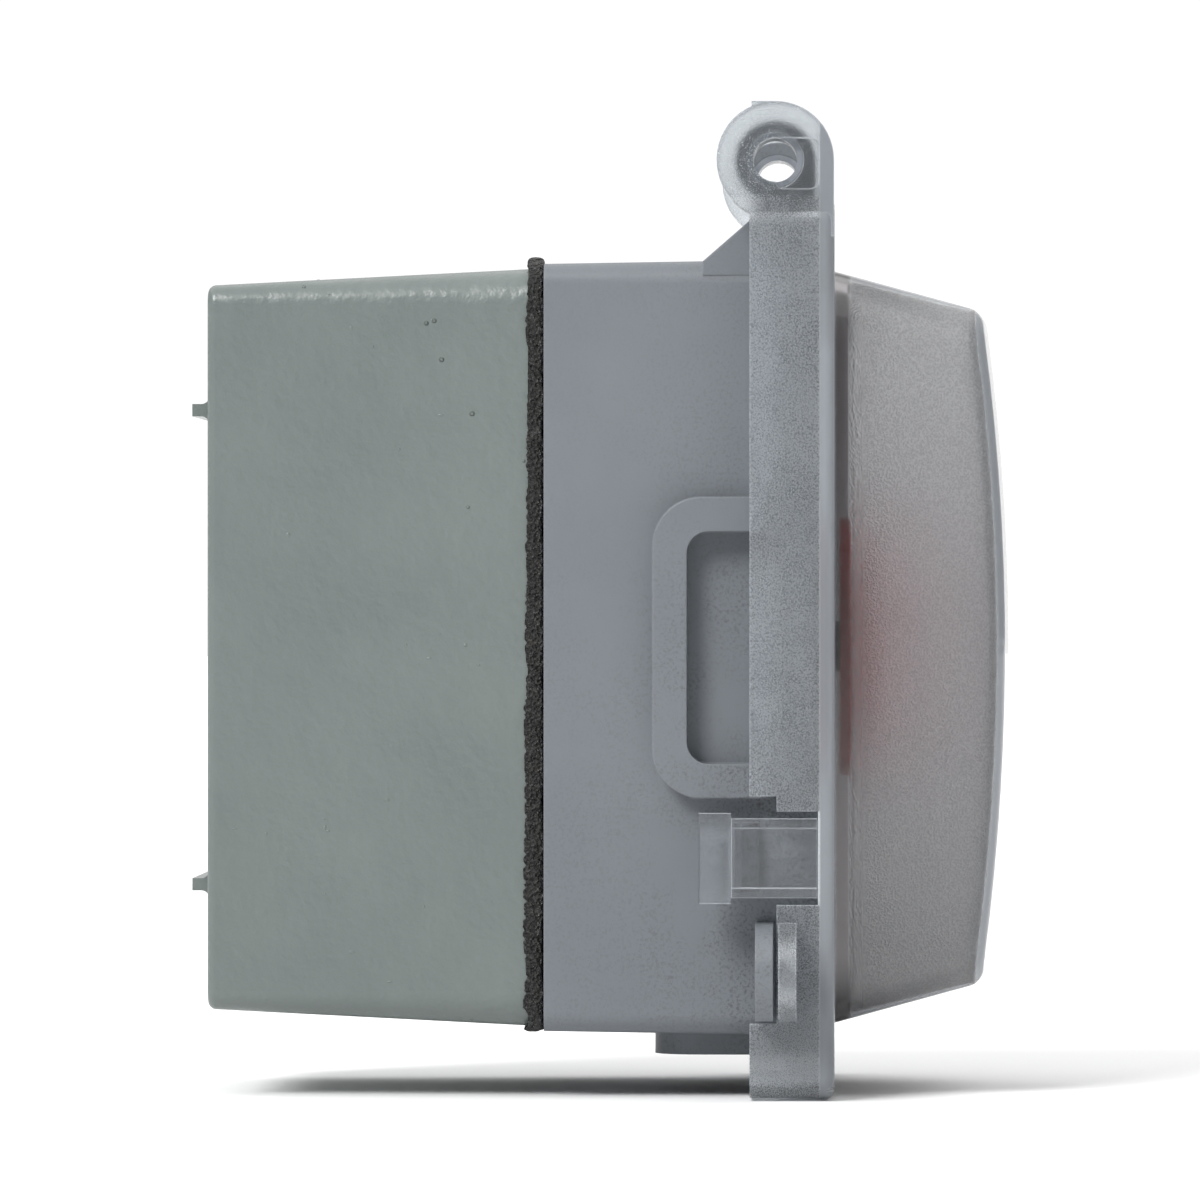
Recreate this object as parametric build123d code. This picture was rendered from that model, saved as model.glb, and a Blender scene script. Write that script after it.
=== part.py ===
"""Covered push-button station for a garage door opener, mounted outdoors on a wall.

A die-cast back box, a foam gasket and a moulded cover base stand on the wall. The base carries a
black panel with one red mushroom button, and a clear lid hinged along its top edge closes over it.
The lid is held shut by a flexing latch tongue and can be padlocked.

Frame, in millimetres: the origin is the middle of the box's back face, +Z is up, +X is to the
right of someone facing the button, and the button faces -Y. A depth is a distance in front of the
box's back face, so a point at depth t has y = -t.
"""

import os
from math import cos, radians, sin, tan

from build123d import *

# ---- Back box: die-cast, one gang
BOX_WIDTH = 71.4  # across the open front
BOX_HEIGHT = 115.9
BOX_DEPTH = 49.2
BOX_DRAFT = 2.9  # degrees on each side
BOX_WALL = 2.6
BOX_BACK = 3.0
CORNER = 3.0  # corner radius seen from the front
BACK_EDGE = 1.3  # rounding of the back edges

RIB_HEIGHT = 2.6  # how far the two wall ribs stand off the back face
RIB_THICKNESS = 1.9
RIB_END = 5.2  # left between a rib's end and the side of the back face
RIB_OFFSET = 36.4  # of each rib above and below the middle
RIB_ROOT = 1.2  # fillet where a rib meets the back

ENTRY_RADIUS = 10.3  # half-inch conduit thread, modelled at its core
ENTRY_BOSS_WALL = 3.2
ENTRY_BOSS_DEPTH = 6.0  # how far each boss stands inside its wall
PLUG_CLEARANCE = 0.08

GROUND_X = 18.0
GROUND_Z = -44.0
GROUND_RADIUS = 2.4
GROUND_BOSS_RADIUS = 4.6
GROUND_BOSS_HEIGHT = 4.0

WALL_SCREW_RADIUS = 2.5
WALL_SCREW_OFFSET = 25.0  # of each wall screw above and below the middle

DEVICE_SCREW_OFFSET = 41.65  # the 83.3 mm spacing of one-gang device screws
DEVICE_SCREW_RADIUS = 1.75
DEVICE_LUG_WIDTH = 11.0
DEVICE_LUG_DEPTH = 14.0
THREAD_CLEARANCE = 0.06
SCREW_HOLE_CLEARANCE = 0.35

# ---- Foam gasket
FOAM_THICKNESS = 2.4
FOAM_PROUD = 0.5  # beyond the box on every side
FOAM_WIDTH = 6.0

# ---- Cover base: moulded plastic
BASE_PROUD = 0.7  # beyond the box on every side
BASE_DEPTH = 41.8
BASE_DRAFT = 0.9
BASE_WALL = 2.5
BASE_REAR_WALL = 2.5
BASE_OPENING_WIDTH = 44.0
BASE_OPENING_HEIGHT = 62.0
SCREW_BOSS_RADIUS = 5.2
SCREW_BOSS_HEIGHT = 3.5

LEDGE_WIDTH = 2.5  # step inside the base that the panel rests on
LEDGE_THICKNESS = 2.0
PANEL_RECESS = 2.3  # from the base's front edge down to the panel's face

PORT_HALF = 22.9  # half the length of a port's raised frame
PORT_REAR = 25.1  # from the base's front edge back to the frame
PORT_FRONT = 0.6
PORT_BAND = 5.2
PORT_PROUD = 3.8
PORT_CORNER = 7.4
PORT_FLOOR_DEPTH = 1.0  # the knock-out floor lies this far under the wall's face

# ---- Lid: clear plastic
LID_OVERHANG = 9.1  # beyond the base's front edge on every side
LID_CORNER = 4.0
LID_WALL = 2.2
LID_GAP = 0.3  # between the base's front edge and the lid's flange
FLANGE_THICKNESS = 2.3
FLANGE_EDGE = 1.4
SKIRT_DEPTH = 12.9
DOME_INSET = 10.5  # from the skirt's outer face to the dome's root
DOME_RISE = 27.1
DOME_TAPER = 15.3  # degrees
DOME_CORNER = 12.0
DOME_CROWN = 370.0  # radius of the gently crowned front
DOME_EDGE = 3.2  # rounding round the dome's front

# ---- Lid hinge, along X above the skirt
HINGE_RISE = 5.6  # of the axis above the skirt's top face
KNUCKLE_RADIUS = 8.9
LUG_SQUARE = 3.6  # how far the square part of an end lug reaches behind the axis
LUG_STEP = 0.35  # of an end lug's face in from the skirt's side
HINGE_HOLE_RADIUS = 3.33
PIN_WALL = 0.9
HINGE_CLEARANCE = 0.06
EAR_THICKNESS = 3.5
EAR_RADIUS = 6.2
EAR_GAP = 0.5  # between an ear's side and whatever turns beside it
GUSSET_REACH = 11.1  # from the hinge axis back to the gusset's foot

# ---- Latch, on the left side
LATCH_MIDDLE = -31.9
LATCH_ARM_WIDTH = 12.1
LATCH_HEAD_WIDTH = 14.2
LATCH_ARM_THICKNESS = 1.5
LATCH_HEAD_DEPTH = 4.9
LATCH_REACH = 18.3  # from the flange's back face to the head's far end
LATCH_ROOT_GAP = 0.3
LATCH_LIP = 1.6  # finger lip standing out of the skirt's face
CATCH_DEPTH = 3.7
CATCH_WIDTH = 10.5
CATCH_HEIGHT = 5.4
CATCH_CLEARANCE = 0.45

# ---- Padlock ears, on the left side below the latch
PADLOCK_MIDDLE = -49.1
PADLOCK_EAR_RADIUS = 7.3
PADLOCK_HOLE_RADIUS = 3.6
PADLOCK_REACH = 5.0  # of the hole's centre beyond the skirt
BASE_EAR_THICKNESS = 2.7
LID_EAR_THICKNESS = 2.7
PADLOCK_EAR_GAP = 0.8

# ---- Panel
PANEL_THICKNESS = 2.5
PANEL_CLEARANCE = 0.3
PANEL_SEAL_THICKNESS = 0.6
PANEL_SCREW_INSET = 5.4
PANEL_SCREW_RADIUS = 1.4
PANEL_SCREW_LENGTH = 11.0
PANEL_COLUMN_RADIUS = 3.6

# ---- Push button
BARREL_RADIUS = 11.0
BARREL_LENGTH = 25.0  # behind the panel's face
PANEL_HOLE_CLEARANCE = 0.15
COLLAR_RIM = 3.6  # how far the collar reaches beyond the barrel
COLLAR_THICKNESS = 3.4
BUTTON_SEAL_THICKNESS = 0.8
BUTTON_TRAVEL = 5.0
HEAD_RADIUS = 20.0
HEAD_THICKNESS = 8.2
HEAD_CLEARANCE = 0.5  # left under the rim when the button is fully in
HEAD_HOLLOW_CLEARANCE = 1.7  # round the collar, inside the head
HEAD_CROWN = 62.0
HEAD_EDGE = 2.6
STEM_RADIUS = 4.0
STEM_CLEARANCE = 0.06
STEM_TAIL = 4.0  # how far the stem stands out of the barrel's back
STEM_COLLAR_RADIUS = 6.6
STEM_COLLAR_THICKNESS = 2.0
SPRING_ROOM_RADIUS = 7.6
BARREL_END_WALL = 2.0
SPRING_WIRE = 0.8
SPRING_COILS = 6
LOCK_NUT_WALL = 3.0  # round the barrel, at the nut's flats
LOCK_NUT_THICKNESS = 4.0
ANTI_TWIST_THICKNESS = 1.0

# ---- Contact block, behind the barrel
CASE_WIDTH = 28.0
CASE_HEIGHT = 34.0
CASE_DEPTH = 28.0
CASE_WALL = 1.5
CASE_FIT = 0.05
CARRIER_WIDTH = 9.0
CARRIER_LENGTH = 13.0
GUIDE_THICKNESS = 1.6
GUIDE_CLEARANCE = 0.25
BRIDGE_LENGTH = 24.0
BRIDGE_WIDTH = 4.6
BRIDGE_THICKNESS = 1.0
CONTACT_GAP = 0.3  # left when the button is fully in
STRIP_WIDTH = 6.0
STRIP_THICKNESS = 1.0
STRIP_INNER = 6.5  # where a fixed contact starts, off the middle
TERMINAL_REACH = 8.0  # of the terminal ledge beyond the case
TERMINAL_SCREW_RADIUS = 1.5
TERMINAL_HEAD_RADIUS = 2.9
TERMINAL_HEAD_THICKNESS = 2.0
CONTACT_SPRING_WIRE = 0.5
CONTACT_SPRING_RADIUS = 2.6

# ---- Depths that several pieces share
BASE_REAR = BOX_DEPTH + FOAM_THICKNESS
BASE_FRONT = BASE_REAR + BASE_DEPTH
PANEL_FRONT = BASE_FRONT - PANEL_RECESS
PANEL_REAR = PANEL_FRONT - PANEL_THICKNESS
LEDGE_FRONT = PANEL_REAR - PANEL_SEAL_THICKNESS
FLANGE_REAR = BASE_FRONT + LID_GAP
FLANGE_FRONT = FLANGE_REAR + FLANGE_THICKNESS
SKIRT_REAR = FLANGE_FRONT - SKIRT_DEPTH
DOME_FRONT = FLANGE_FRONT + DOME_RISE

# ---- Heights and half widths that several pieces share
BASE_GROWTH = BASE_DEPTH * tan(radians(BASE_DRAFT))
BASE_HALF_WIDTH = BOX_WIDTH / 2 + BASE_PROUD + BASE_GROWTH  # at its front edge
BASE_HALF_HEIGHT = BOX_HEIGHT / 2 + BASE_PROUD + BASE_GROWTH
LID_HALF_WIDTH = BASE_HALF_WIDTH + LID_OVERHANG
LID_HALF_HEIGHT = BASE_HALF_HEIGHT + LID_OVERHANG
HINGE_Z = LID_HALF_HEIGHT + HINGE_RISE
HINGE_DEPTH = FLANGE_FRONT - KNUCKLE_RADIUS - 0.1
EAR_OUTER = BASE_HALF_WIDTH - 0.2
EAR_INNER = EAR_OUTER - EAR_THICKNESS
PIN_RADIUS = HINGE_HOLE_RADIUS + PIN_WALL
SKIRT_INNER = LID_HALF_WIDTH - LID_WALL

# ---- Padlock ears meet behind the lid's ear
LID_EAR_FRONT = FLANGE_REAR - 3.5
LID_EAR_REAR = LID_EAR_FRONT - LID_EAR_THICKNESS
BASE_EAR_FRONT = LID_EAR_REAR - PADLOCK_EAR_GAP
BASE_EAR_REAR = BASE_EAR_FRONT - BASE_EAR_THICKNESS
PADLOCK_X = -(LID_HALF_WIDTH + PADLOCK_REACH)

# ---- Radii round the button's barrel
COLLAR_RADIUS = BARREL_RADIUS + COLLAR_RIM
LOCK_NUT_WIDTH = 2 * (BARREL_RADIUS + LOCK_NUT_WALL)  # across its flats

# ---- Depths along the button
SEAL_FRONT = PANEL_FRONT + BUTTON_SEAL_THICKNESS
COLLAR_FRONT = SEAL_FRONT + COLLAR_THICKNESS
BARREL_REAR = PANEL_FRONT - BARREL_LENGTH
HEAD_REAR = PANEL_FRONT + BUTTON_TRAVEL + HEAD_CLEARANCE
HEAD_FRONT = HEAD_REAR + HEAD_THICKNESS
HOLLOW_CEILING = COLLAR_FRONT + BUTTON_TRAVEL + HEAD_CLEARANCE
STEM_FRONT = HOLLOW_CEILING + 1.2
STEM_REAR = BARREL_REAR - STEM_TAIL
SPRING_ROOM_REAR = BARREL_REAR + BARREL_END_WALL
STEM_COLLAR_FRONT = PANEL_FRONT - 5.4
SPRING_ROOM_FRONT = STEM_COLLAR_FRONT + 0.3
NUT_FRONT = PANEL_REAR - ANTI_TWIST_THICKNESS

# ---- Depths along the contact block
CASE_FRONT = BARREL_REAR - 0.1
CASE_REAR = CASE_FRONT - CASE_DEPTH
COVER_FRONT = CASE_REAR + CASE_WALL
CARRIER_REAR = STEM_REAR - CARRIER_LENGTH
BRIDGE_REAR = CARRIER_REAR + 2.5
STRIP_FRONT = BRIDGE_REAR - BUTTON_TRAVEL - CONTACT_GAP
STRIP_REAR = STRIP_FRONT - STRIP_THICKNESS
TERMINAL_Z = CASE_HEIGHT / 2 + TERMINAL_REACH / 2

FRONT_VIEW = Plane.XZ  # local x is X, local y is Z, extrudes towards the front
SIDE_VIEW = Plane(origin=(0, 0, 0), x_dir=(0, -1, 0), z_dir=(-1, 0, 0))  # depth, Z, towards -X
PLAN_VIEW = Plane(origin=(0, 0, 0), x_dir=(1, 0, 0), z_dir=(0, 0, -1))  # X, depth, downwards


# ---- Shapes that many pieces use

def plate(width, height, corner, rear, front, draft=0.0):
    """A rounded rectangle seen from the front, growing by its draft towards the front."""
    outline = FRONT_VIEW.offset(rear) * RectangleRounded(width, height, corner)
    return extrude(outline, front - rear, taper=-draft)


def block(width, height, rear, front, x=0.0, z=0.0):
    """A plain block between two depths, centred on x and z."""
    return extrude(FRONT_VIEW.offset(rear) * Pos(x, z) * Rectangle(width, height), front - rear)


def rod(radius, rear, front, x=0.0, z=0.0):
    """A round bar along the depth."""
    return extrude(FRONT_VIEW.offset(rear) * Pos(x, z) * Circle(radius), front - rear)


def ring(outer, inner, rear, front, x=0.0, z=0.0):
    return rod(outer, rear, front, x, z) - rod(inner, rear, front, x, z)


def across(outline, left, right):
    """An outline drawn as depth and height, running from one x to another."""
    return extrude(SIDE_VIEW.offset(-right) * outline, right - left)


def upright(outline, low, high):
    """An outline drawn as x and depth, running from one height to another."""
    return extrude(PLAN_VIEW.offset(-high) * outline, high - low)


def side_box(rear, front, low, high, left, right):
    middle = Pos((rear + front) / 2, (low + high) / 2)
    return across(middle * Rectangle(front - rear, high - low), left, right)


def coil(radius, wire, turns, rear, front):
    """A compression spring along the depth, with its wire clear of both seats."""
    length = front - rear - wire * 1.3
    path = Helix(pitch=length / turns, height=length, radius=radius)
    section = Plane(origin=path @ 0, z_dir=path % 0) * Circle(wire / 2)
    spring = sweep(section, path=path, is_frenet=True)
    turned = Rotation(90, 0, 0) * spring
    return Pos(0, -(rear + wire * 0.65), 0) * turned


def pan_screw(shank, head, head_thickness, length, seat, x=0.0, z=0.0):
    """A pan head screw driven from the front, its head on the seat, with a cross recess."""
    top = seat + head_thickness
    body = rod(head, seat, top, x, z)
    body = fillet(body.edges().group_by(Axis.Y)[0], head_thickness * 0.45)
    body += rod(shank, seat - length, seat, x, z)
    depth = head_thickness * 0.55
    width = head * 0.28
    for wide, tall in ((head * 1.15, width), (width, head * 1.15)):
        body -= block(wide, tall, top - depth, top, x, z)
    return body


# ---- Back box and what it holds

def box_half(full, depth):
    """Half of the box's outer width or height at a depth."""
    return full / 2 - (BOX_DEPTH - depth) * tan(radians(BOX_DRAFT))


def entry_depth():
    return BOX_DEPTH * 0.55


def back_box():
    rear_width = 2 * box_half(BOX_WIDTH, 0)
    rear_height = 2 * box_half(BOX_HEIGHT, 0)
    outer = plate(rear_width, rear_height, CORNER, 0, BOX_DEPTH, BOX_DRAFT)
    outer = fillet(outer.edges().group_by(Axis.Y)[-1], BACK_EDGE)
    floor_width = 2 * (box_half(BOX_WIDTH, BOX_BACK) - BOX_WALL)
    floor_height = 2 * (box_half(BOX_HEIGHT, BOX_BACK) - BOX_WALL)
    cavity = plate(floor_width, floor_height, CORNER * 0.6, BOX_BACK, BOX_DEPTH, BOX_DRAFT)
    box = outer - cavity

    boss = ENTRY_RADIUS + ENTRY_BOSS_WALL
    box += rod(boss, BOX_BACK / 2, BOX_BACK + ENTRY_BOSS_DEPTH)
    wall = box_half(BOX_HEIGHT, entry_depth()) - BOX_WALL
    hub = upright(Pos(0, entry_depth()) * Circle(boss), wall - ENTRY_BOSS_DEPTH, wall + BOX_WALL)
    lug_rear = BOX_DEPTH - DEVICE_LUG_DEPTH
    lug_low = DEVICE_SCREW_OFFSET - DEVICE_LUG_WIDTH / 2
    lug_high = box_half(BOX_HEIGHT, lug_rear) - BOX_WALL / 2
    for side in (1, -1):
        box += (hub if side > 0 else Rot(0, 180, 0) * hub) & outer
        middle = side * (lug_low + lug_high) / 2
        box += block(DEVICE_LUG_WIDTH, lug_high - lug_low, lug_rear, BOX_DEPTH, z=middle)
    box += rod(GROUND_BOSS_RADIUS, BOX_BACK / 2, BOX_BACK + GROUND_BOSS_HEIGHT, GROUND_X, GROUND_Z)

    box -= rod(ENTRY_RADIUS, 0, BOX_BACK + ENTRY_BOSS_DEPTH)
    box -= upright(Pos(0, entry_depth()) * Circle(ENTRY_RADIUS), -BOX_HEIGHT, BOX_HEIGHT)
    hole = DEVICE_SCREW_RADIUS + THREAD_CLEARANCE
    for side in (1, -1):
        box -= rod(hole, lug_rear, BOX_DEPTH, z=side * DEVICE_SCREW_OFFSET)
        box -= rod(WALL_SCREW_RADIUS, 0, BOX_BACK, z=side * WALL_SCREW_OFFSET)
        rib_length = rear_width - 2 * RIB_END
        box += block(rib_length, RIB_THICKNESS, -RIB_HEIGHT, BOX_BACK / 2, z=side * RIB_OFFSET)
    ground_hole = GROUND_RADIUS + THREAD_CLEARANCE
    box -= rod(ground_hole, BOX_BACK / 2, BOX_BACK + GROUND_BOSS_HEIGHT, GROUND_X, GROUND_Z)
    roots = box.edges().filter_by(Axis.X).filter_by(lambda e: abs(e.center().Y) < 0.01)
    roots = roots.filter_by(lambda e: abs(abs(e.center().Z) - RIB_OFFSET) < RIB_THICKNESS)
    return fillet(roots, RIB_ROOT)


def entry_plug(side):
    """A slotted conduit plug, screwed in flush from outside."""
    outer = box_half(BOX_HEIGHT, entry_depth() - ENTRY_RADIUS)
    inner = box_half(BOX_HEIGHT, entry_depth()) - BOX_WALL - ENTRY_BOSS_DEPTH
    place = Pos(0, entry_depth())
    plug = upright(place * Circle(ENTRY_RADIUS - PLUG_CLEARANCE), inner, outer)
    plug -= upright(place * Circle(ENTRY_RADIUS - 3.5), inner, outer - 3.2)
    plug -= upright(place * Rectangle(ENTRY_RADIUS * 1.3, 2.4), outer - 1.6, outer)
    return plug if side > 0 else Rot(0, 180, 0) * plug


def ground_screw():
    """A hex washer head screw in the floor of the box."""
    seat = BOX_BACK + GROUND_BOSS_HEIGHT
    screw = rod(GROUND_RADIUS, BOX_BACK / 2 + 0.5, seat, GROUND_X, GROUND_Z)
    screw += rod(5.0, seat, seat + 0.8, GROUND_X, GROUND_Z)
    head = FRONT_VIEW.offset(seat + 0.8) * Pos(GROUND_X, GROUND_Z) * RegularPolygon(3.9, 6)
    screw += extrude(head, 3.0)
    screw -= block(9.0, 1.2, seat + 2.6, seat + 3.8, GROUND_X, GROUND_Z)
    return screw


def box_gasket():
    width = BOX_WIDTH + 2 * FOAM_PROUD
    height = BOX_HEIGHT + 2 * FOAM_PROUD
    foam = plate(width, height, CORNER + FOAM_PROUD, BOX_DEPTH, BASE_REAR)
    inner_width = width - 2 * FOAM_WIDTH
    inner_height = height - 2 * FOAM_WIDTH
    return foam - plate(inner_width, inner_height, CORNER, BOX_DEPTH, BASE_REAR)


# ---- Cover base

def base_half(full, depth):
    """Half of the base's outer width or height at a depth."""
    return full / 2 + BASE_PROUD + (depth - BASE_REAR) * tan(radians(BASE_DRAFT))


def port_outline(inset):
    """A port's rounded frame, drawn as distance behind the base's front and along the wall."""
    depth = PORT_REAR - PORT_FRONT - 2 * inset
    middle = BASE_FRONT - (PORT_REAR + PORT_FRONT) / 2
    return middle, depth, 2 * (PORT_HALF - inset), max(PORT_CORNER - inset * 0.77, 1.0)


def side_port(side, inset, low, high):
    middle, depth, length, corner = port_outline(inset)
    outline = Pos(middle, 0) * RectangleRounded(depth, length, corner)
    return across(outline, low, high) if side > 0 else across(outline, -high, -low)


def bottom_port(inset, low, high):
    middle, depth, length, corner = port_outline(inset)
    outline = Pos(0, middle) * RectangleRounded(length, depth, corner)
    return upright(outline, -high, -low)


def hinge_ear(left, right):
    """An ear with its sloping gusset, standing on the base's top wall."""
    foot = BASE_HALF_HEIGHT - BASE_WALL
    top = BASE_HALF_HEIGHT - 0.4
    steep = radians(41.0)
    touch_depth = HINGE_DEPTH - EAR_RADIUS * sin(steep)
    touch_z = HINGE_Z + EAR_RADIUS * cos(steep)
    gusset_top = top + (touch_depth - (HINGE_DEPTH - GUSSET_REACH)) * tan(steep)
    gusset_top = min(gusset_top, touch_z)
    outline = Polyline(
        (HINGE_DEPTH - GUSSET_REACH, foot),
        (HINGE_DEPTH - GUSSET_REACH, top),
        (touch_depth, gusset_top),
        (HINGE_DEPTH, HINGE_Z),
        (HINGE_DEPTH + EAR_RADIUS, HINGE_Z),
        (HINGE_DEPTH + EAR_RADIUS, foot),
        close=True,
    )
    profile = make_face(outline) + Pos(HINGE_DEPTH, HINGE_Z) * Circle(EAR_RADIUS)
    profile -= Pos(HINGE_DEPTH, HINGE_Z) * Circle(PIN_RADIUS)
    return across(profile, left, right)


def padlock_ear(rear, front, wall_x):
    """A rounded ear reaching out to the left, with the padlock's hole."""
    width = PADLOCK_X - wall_x
    ear = block(abs(width), 2 * PADLOCK_EAR_RADIUS, rear, front, (PADLOCK_X + wall_x) / 2, PADLOCK_MIDDLE)
    ear += rod(PADLOCK_EAR_RADIUS, rear, front, PADLOCK_X, PADLOCK_MIDDLE)
    return ear - rod(PADLOCK_HOLE_RADIUS, rear, front, PADLOCK_X, PADLOCK_MIDDLE)


def panel_screw_places():
    x = base_half(BOX_WIDTH, PANEL_FRONT) - BASE_WALL - PANEL_SCREW_INSET
    z = base_half(BOX_HEIGHT, PANEL_FRONT) - BASE_WALL - PANEL_SCREW_INSET
    return [(x * i, z * k) for i in (1, -1) for k in (1, -1)]


def hook_depths():
    """Where the latch's hook lies: its far end and its catching face."""
    far = FLANGE_REAR - LATCH_REACH
    return far, far + LATCH_HEAD_DEPTH


def latch_catch():
    """The wedge on the base's side that the tongue's hook drops behind."""
    rear = hook_depths()[1] + CATCH_CLEARANCE
    wall = base_half(BOX_WIDTH, rear)
    outline = Polyline(
        (-wall + 1.0, rear),
        (-wall - CATCH_HEIGHT, rear),
        (-wall - CATCH_HEIGHT, rear + CATCH_DEPTH * 0.3),
        (-wall - CATCH_HEIGHT * 0.45, rear + CATCH_DEPTH),
        (-wall + 1.0, rear + CATCH_DEPTH),
        close=True,
    )
    low = LATCH_MIDDLE - CATCH_WIDTH / 2
    return upright(make_face(outline), low, low + CATCH_WIDTH)


def cover_base():
    rear_width = 2 * base_half(BOX_WIDTH, BASE_REAR)
    rear_height = 2 * base_half(BOX_HEIGHT, BASE_REAR)
    outer = plate(rear_width, rear_height, CORNER, BASE_REAR, BASE_FRONT, BASE_DRAFT)
    floor = BASE_REAR + BASE_REAR_WALL
    inner_width = 2 * (base_half(BOX_WIDTH, floor) - BASE_WALL)
    inner_height = 2 * (base_half(BOX_HEIGHT, floor) - BASE_WALL)
    cavity = plate(inner_width, inner_height, CORNER * 0.6, floor, BASE_FRONT, BASE_DRAFT)
    base = outer - cavity

    ledge_rear = LEDGE_FRONT - LEDGE_THICKNESS
    ledge_half_width = base_half(BOX_WIDTH, ledge_rear) - BASE_WALL - LEDGE_WIDTH
    ledge_half_height = base_half(BOX_HEIGHT, ledge_rear) - BASE_WALL - LEDGE_WIDTH
    ledge = plate(2 * ledge_half_width + 3 * LEDGE_WIDTH, 2 * ledge_half_height + 3 * LEDGE_WIDTH,
                  CORNER, ledge_rear, LEDGE_FRONT)
    base += ledge - plate(2 * ledge_half_width, 2 * ledge_half_height, CORNER, ledge_rear, LEDGE_FRONT)
    for x, z in panel_screw_places():
        base += rod(PANEL_COLUMN_RADIUS, floor - 0.5, LEDGE_FRONT, x, z)
        base -= rod(PANEL_SCREW_RADIUS + THREAD_CLEARANCE, PANEL_REAR - PANEL_SCREW_LENGTH, LEDGE_FRONT, x, z)

    for side in (1, -1):
        wall = base_half(BOX_WIDTH, BASE_FRONT - PORT_REAR)
        base += side_port(side, 0, wall - BASE_WALL / 2, wall + PORT_PROUD)
        base -= side_port(side, PORT_BAND, wall - PORT_FLOOR_DEPTH, wall + 2 * PORT_PROUD)
        base += across_pair(hinge_ear, side)
    wall = base_half(BOX_HEIGHT, BASE_FRONT - PORT_REAR)
    base += bottom_port(0, wall - BASE_WALL / 2, wall + PORT_PROUD)
    base -= bottom_port(PORT_BAND, wall - PORT_FLOOR_DEPTH, wall + 2 * PORT_PROUD)

    base += latch_catch()
    base += padlock_ear(BASE_EAR_REAR, BASE_EAR_FRONT, -(BASE_HALF_WIDTH - BASE_WALL / 2))

    base -= plate(BASE_OPENING_WIDTH, BASE_OPENING_HEIGHT, CORNER * 2, BASE_REAR, floor)
    for side in (1, -1):
        z = side * DEVICE_SCREW_OFFSET
        base += rod(SCREW_BOSS_RADIUS, floor - 0.5, floor + SCREW_BOSS_HEIGHT, z=z)
        base -= rod(DEVICE_SCREW_RADIUS + SCREW_HOLE_CLEARANCE, BASE_REAR, floor + SCREW_BOSS_HEIGHT, z=z)
    return base


def across_pair(make, side):
    """The same side piece on the right, or on the left."""
    return make(EAR_INNER, EAR_OUTER) if side > 0 else make(-EAR_OUTER, -EAR_INNER)


def base_screws():
    seat = BASE_REAR + BASE_REAR_WALL + SCREW_BOSS_HEIGHT
    length = seat - BOX_DEPTH + DEVICE_LUG_DEPTH * 0.8
    return [pan_screw(DEVICE_SCREW_RADIUS, 3.5, 2.4, length, seat, z=side * DEVICE_SCREW_OFFSET)
            for side in (1, -1)]


def hinge_pins():
    """Two hollow pins pressed into the base's ears, which the lid turns on."""
    outline = Pos(HINGE_DEPTH, HINGE_Z) * (Circle(PIN_RADIUS) - Circle(HINGE_HOLE_RADIUS))
    tip = SKIRT_INNER - 0.3
    return [across(outline, EAR_INNER, tip), across(outline, -tip, -EAR_INNER)]


# ---- Panel

def panel_size(depth, clearance):
    width = 2 * (base_half(BOX_WIDTH, depth) - BASE_WALL - clearance)
    height = 2 * (base_half(BOX_HEIGHT, depth) - BASE_WALL - clearance)
    return width, height


def panel_seal():
    width, height = panel_size(LEDGE_FRONT, PANEL_CLEARANCE)
    seal = plate(width, height, CORNER * 0.5, LEDGE_FRONT, PANEL_REAR)
    seal -= plate(width - 2 * LEDGE_WIDTH, height - 2 * LEDGE_WIDTH, CORNER, LEDGE_FRONT, PANEL_REAR)
    for x, z in panel_screw_places():
        seal += rod(PANEL_COLUMN_RADIUS, LEDGE_FRONT, PANEL_REAR, x, z)
        seal -= rod(PANEL_SCREW_RADIUS + SCREW_HOLE_CLEARANCE, LEDGE_FRONT, PANEL_REAR, x, z)
    return seal


def front_panel():
    width, height = panel_size(PANEL_REAR, PANEL_CLEARANCE)
    panel = plate(width, height, CORNER * 0.5, PANEL_REAR, PANEL_FRONT)
    panel = fillet(panel.edges().group_by(Axis.Y)[0], 0.6)
    panel -= rod(BARREL_RADIUS + PANEL_HOLE_CLEARANCE, PANEL_REAR, PANEL_FRONT)
    for x, z in panel_screw_places():
        panel -= rod(PANEL_SCREW_RADIUS + SCREW_HOLE_CLEARANCE, PANEL_REAR, PANEL_FRONT, x, z)
    return panel


def panel_screws():
    length = PANEL_SCREW_LENGTH
    return [pan_screw(PANEL_SCREW_RADIUS, 2.7, 1.6, length, PANEL_FRONT, x, z)
            for x, z in panel_screw_places()]


# ---- Push button

def button_barrel():
    """The threaded body with its front collar, which guides the stem."""
    body = rod(COLLAR_RADIUS, SEAL_FRONT, COLLAR_FRONT)
    body = fillet(body.edges().group_by(Axis.Y)[0], 1.0)
    body += rod(BARREL_RADIUS, BARREL_REAR, SEAL_FRONT)
    body -= rod(STEM_RADIUS + STEM_CLEARANCE, BARREL_REAR, COLLAR_FRONT)
    return body - rod(SPRING_ROOM_RADIUS, SPRING_ROOM_REAR, SPRING_ROOM_FRONT)


def button_seal():
    return ring(COLLAR_RADIUS - 0.4, BARREL_RADIUS + PANEL_HOLE_CLEARANCE, PANEL_FRONT, SEAL_FRONT)


def anti_twist_washer():
    washer = ring(BARREL_RADIUS + 4.5, BARREL_RADIUS + PANEL_HOLE_CLEARANCE, NUT_FRONT, PANEL_REAR)
    return washer + block(3.0, 3.0, NUT_FRONT, PANEL_REAR, z=BARREL_RADIUS + 5.4)


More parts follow.
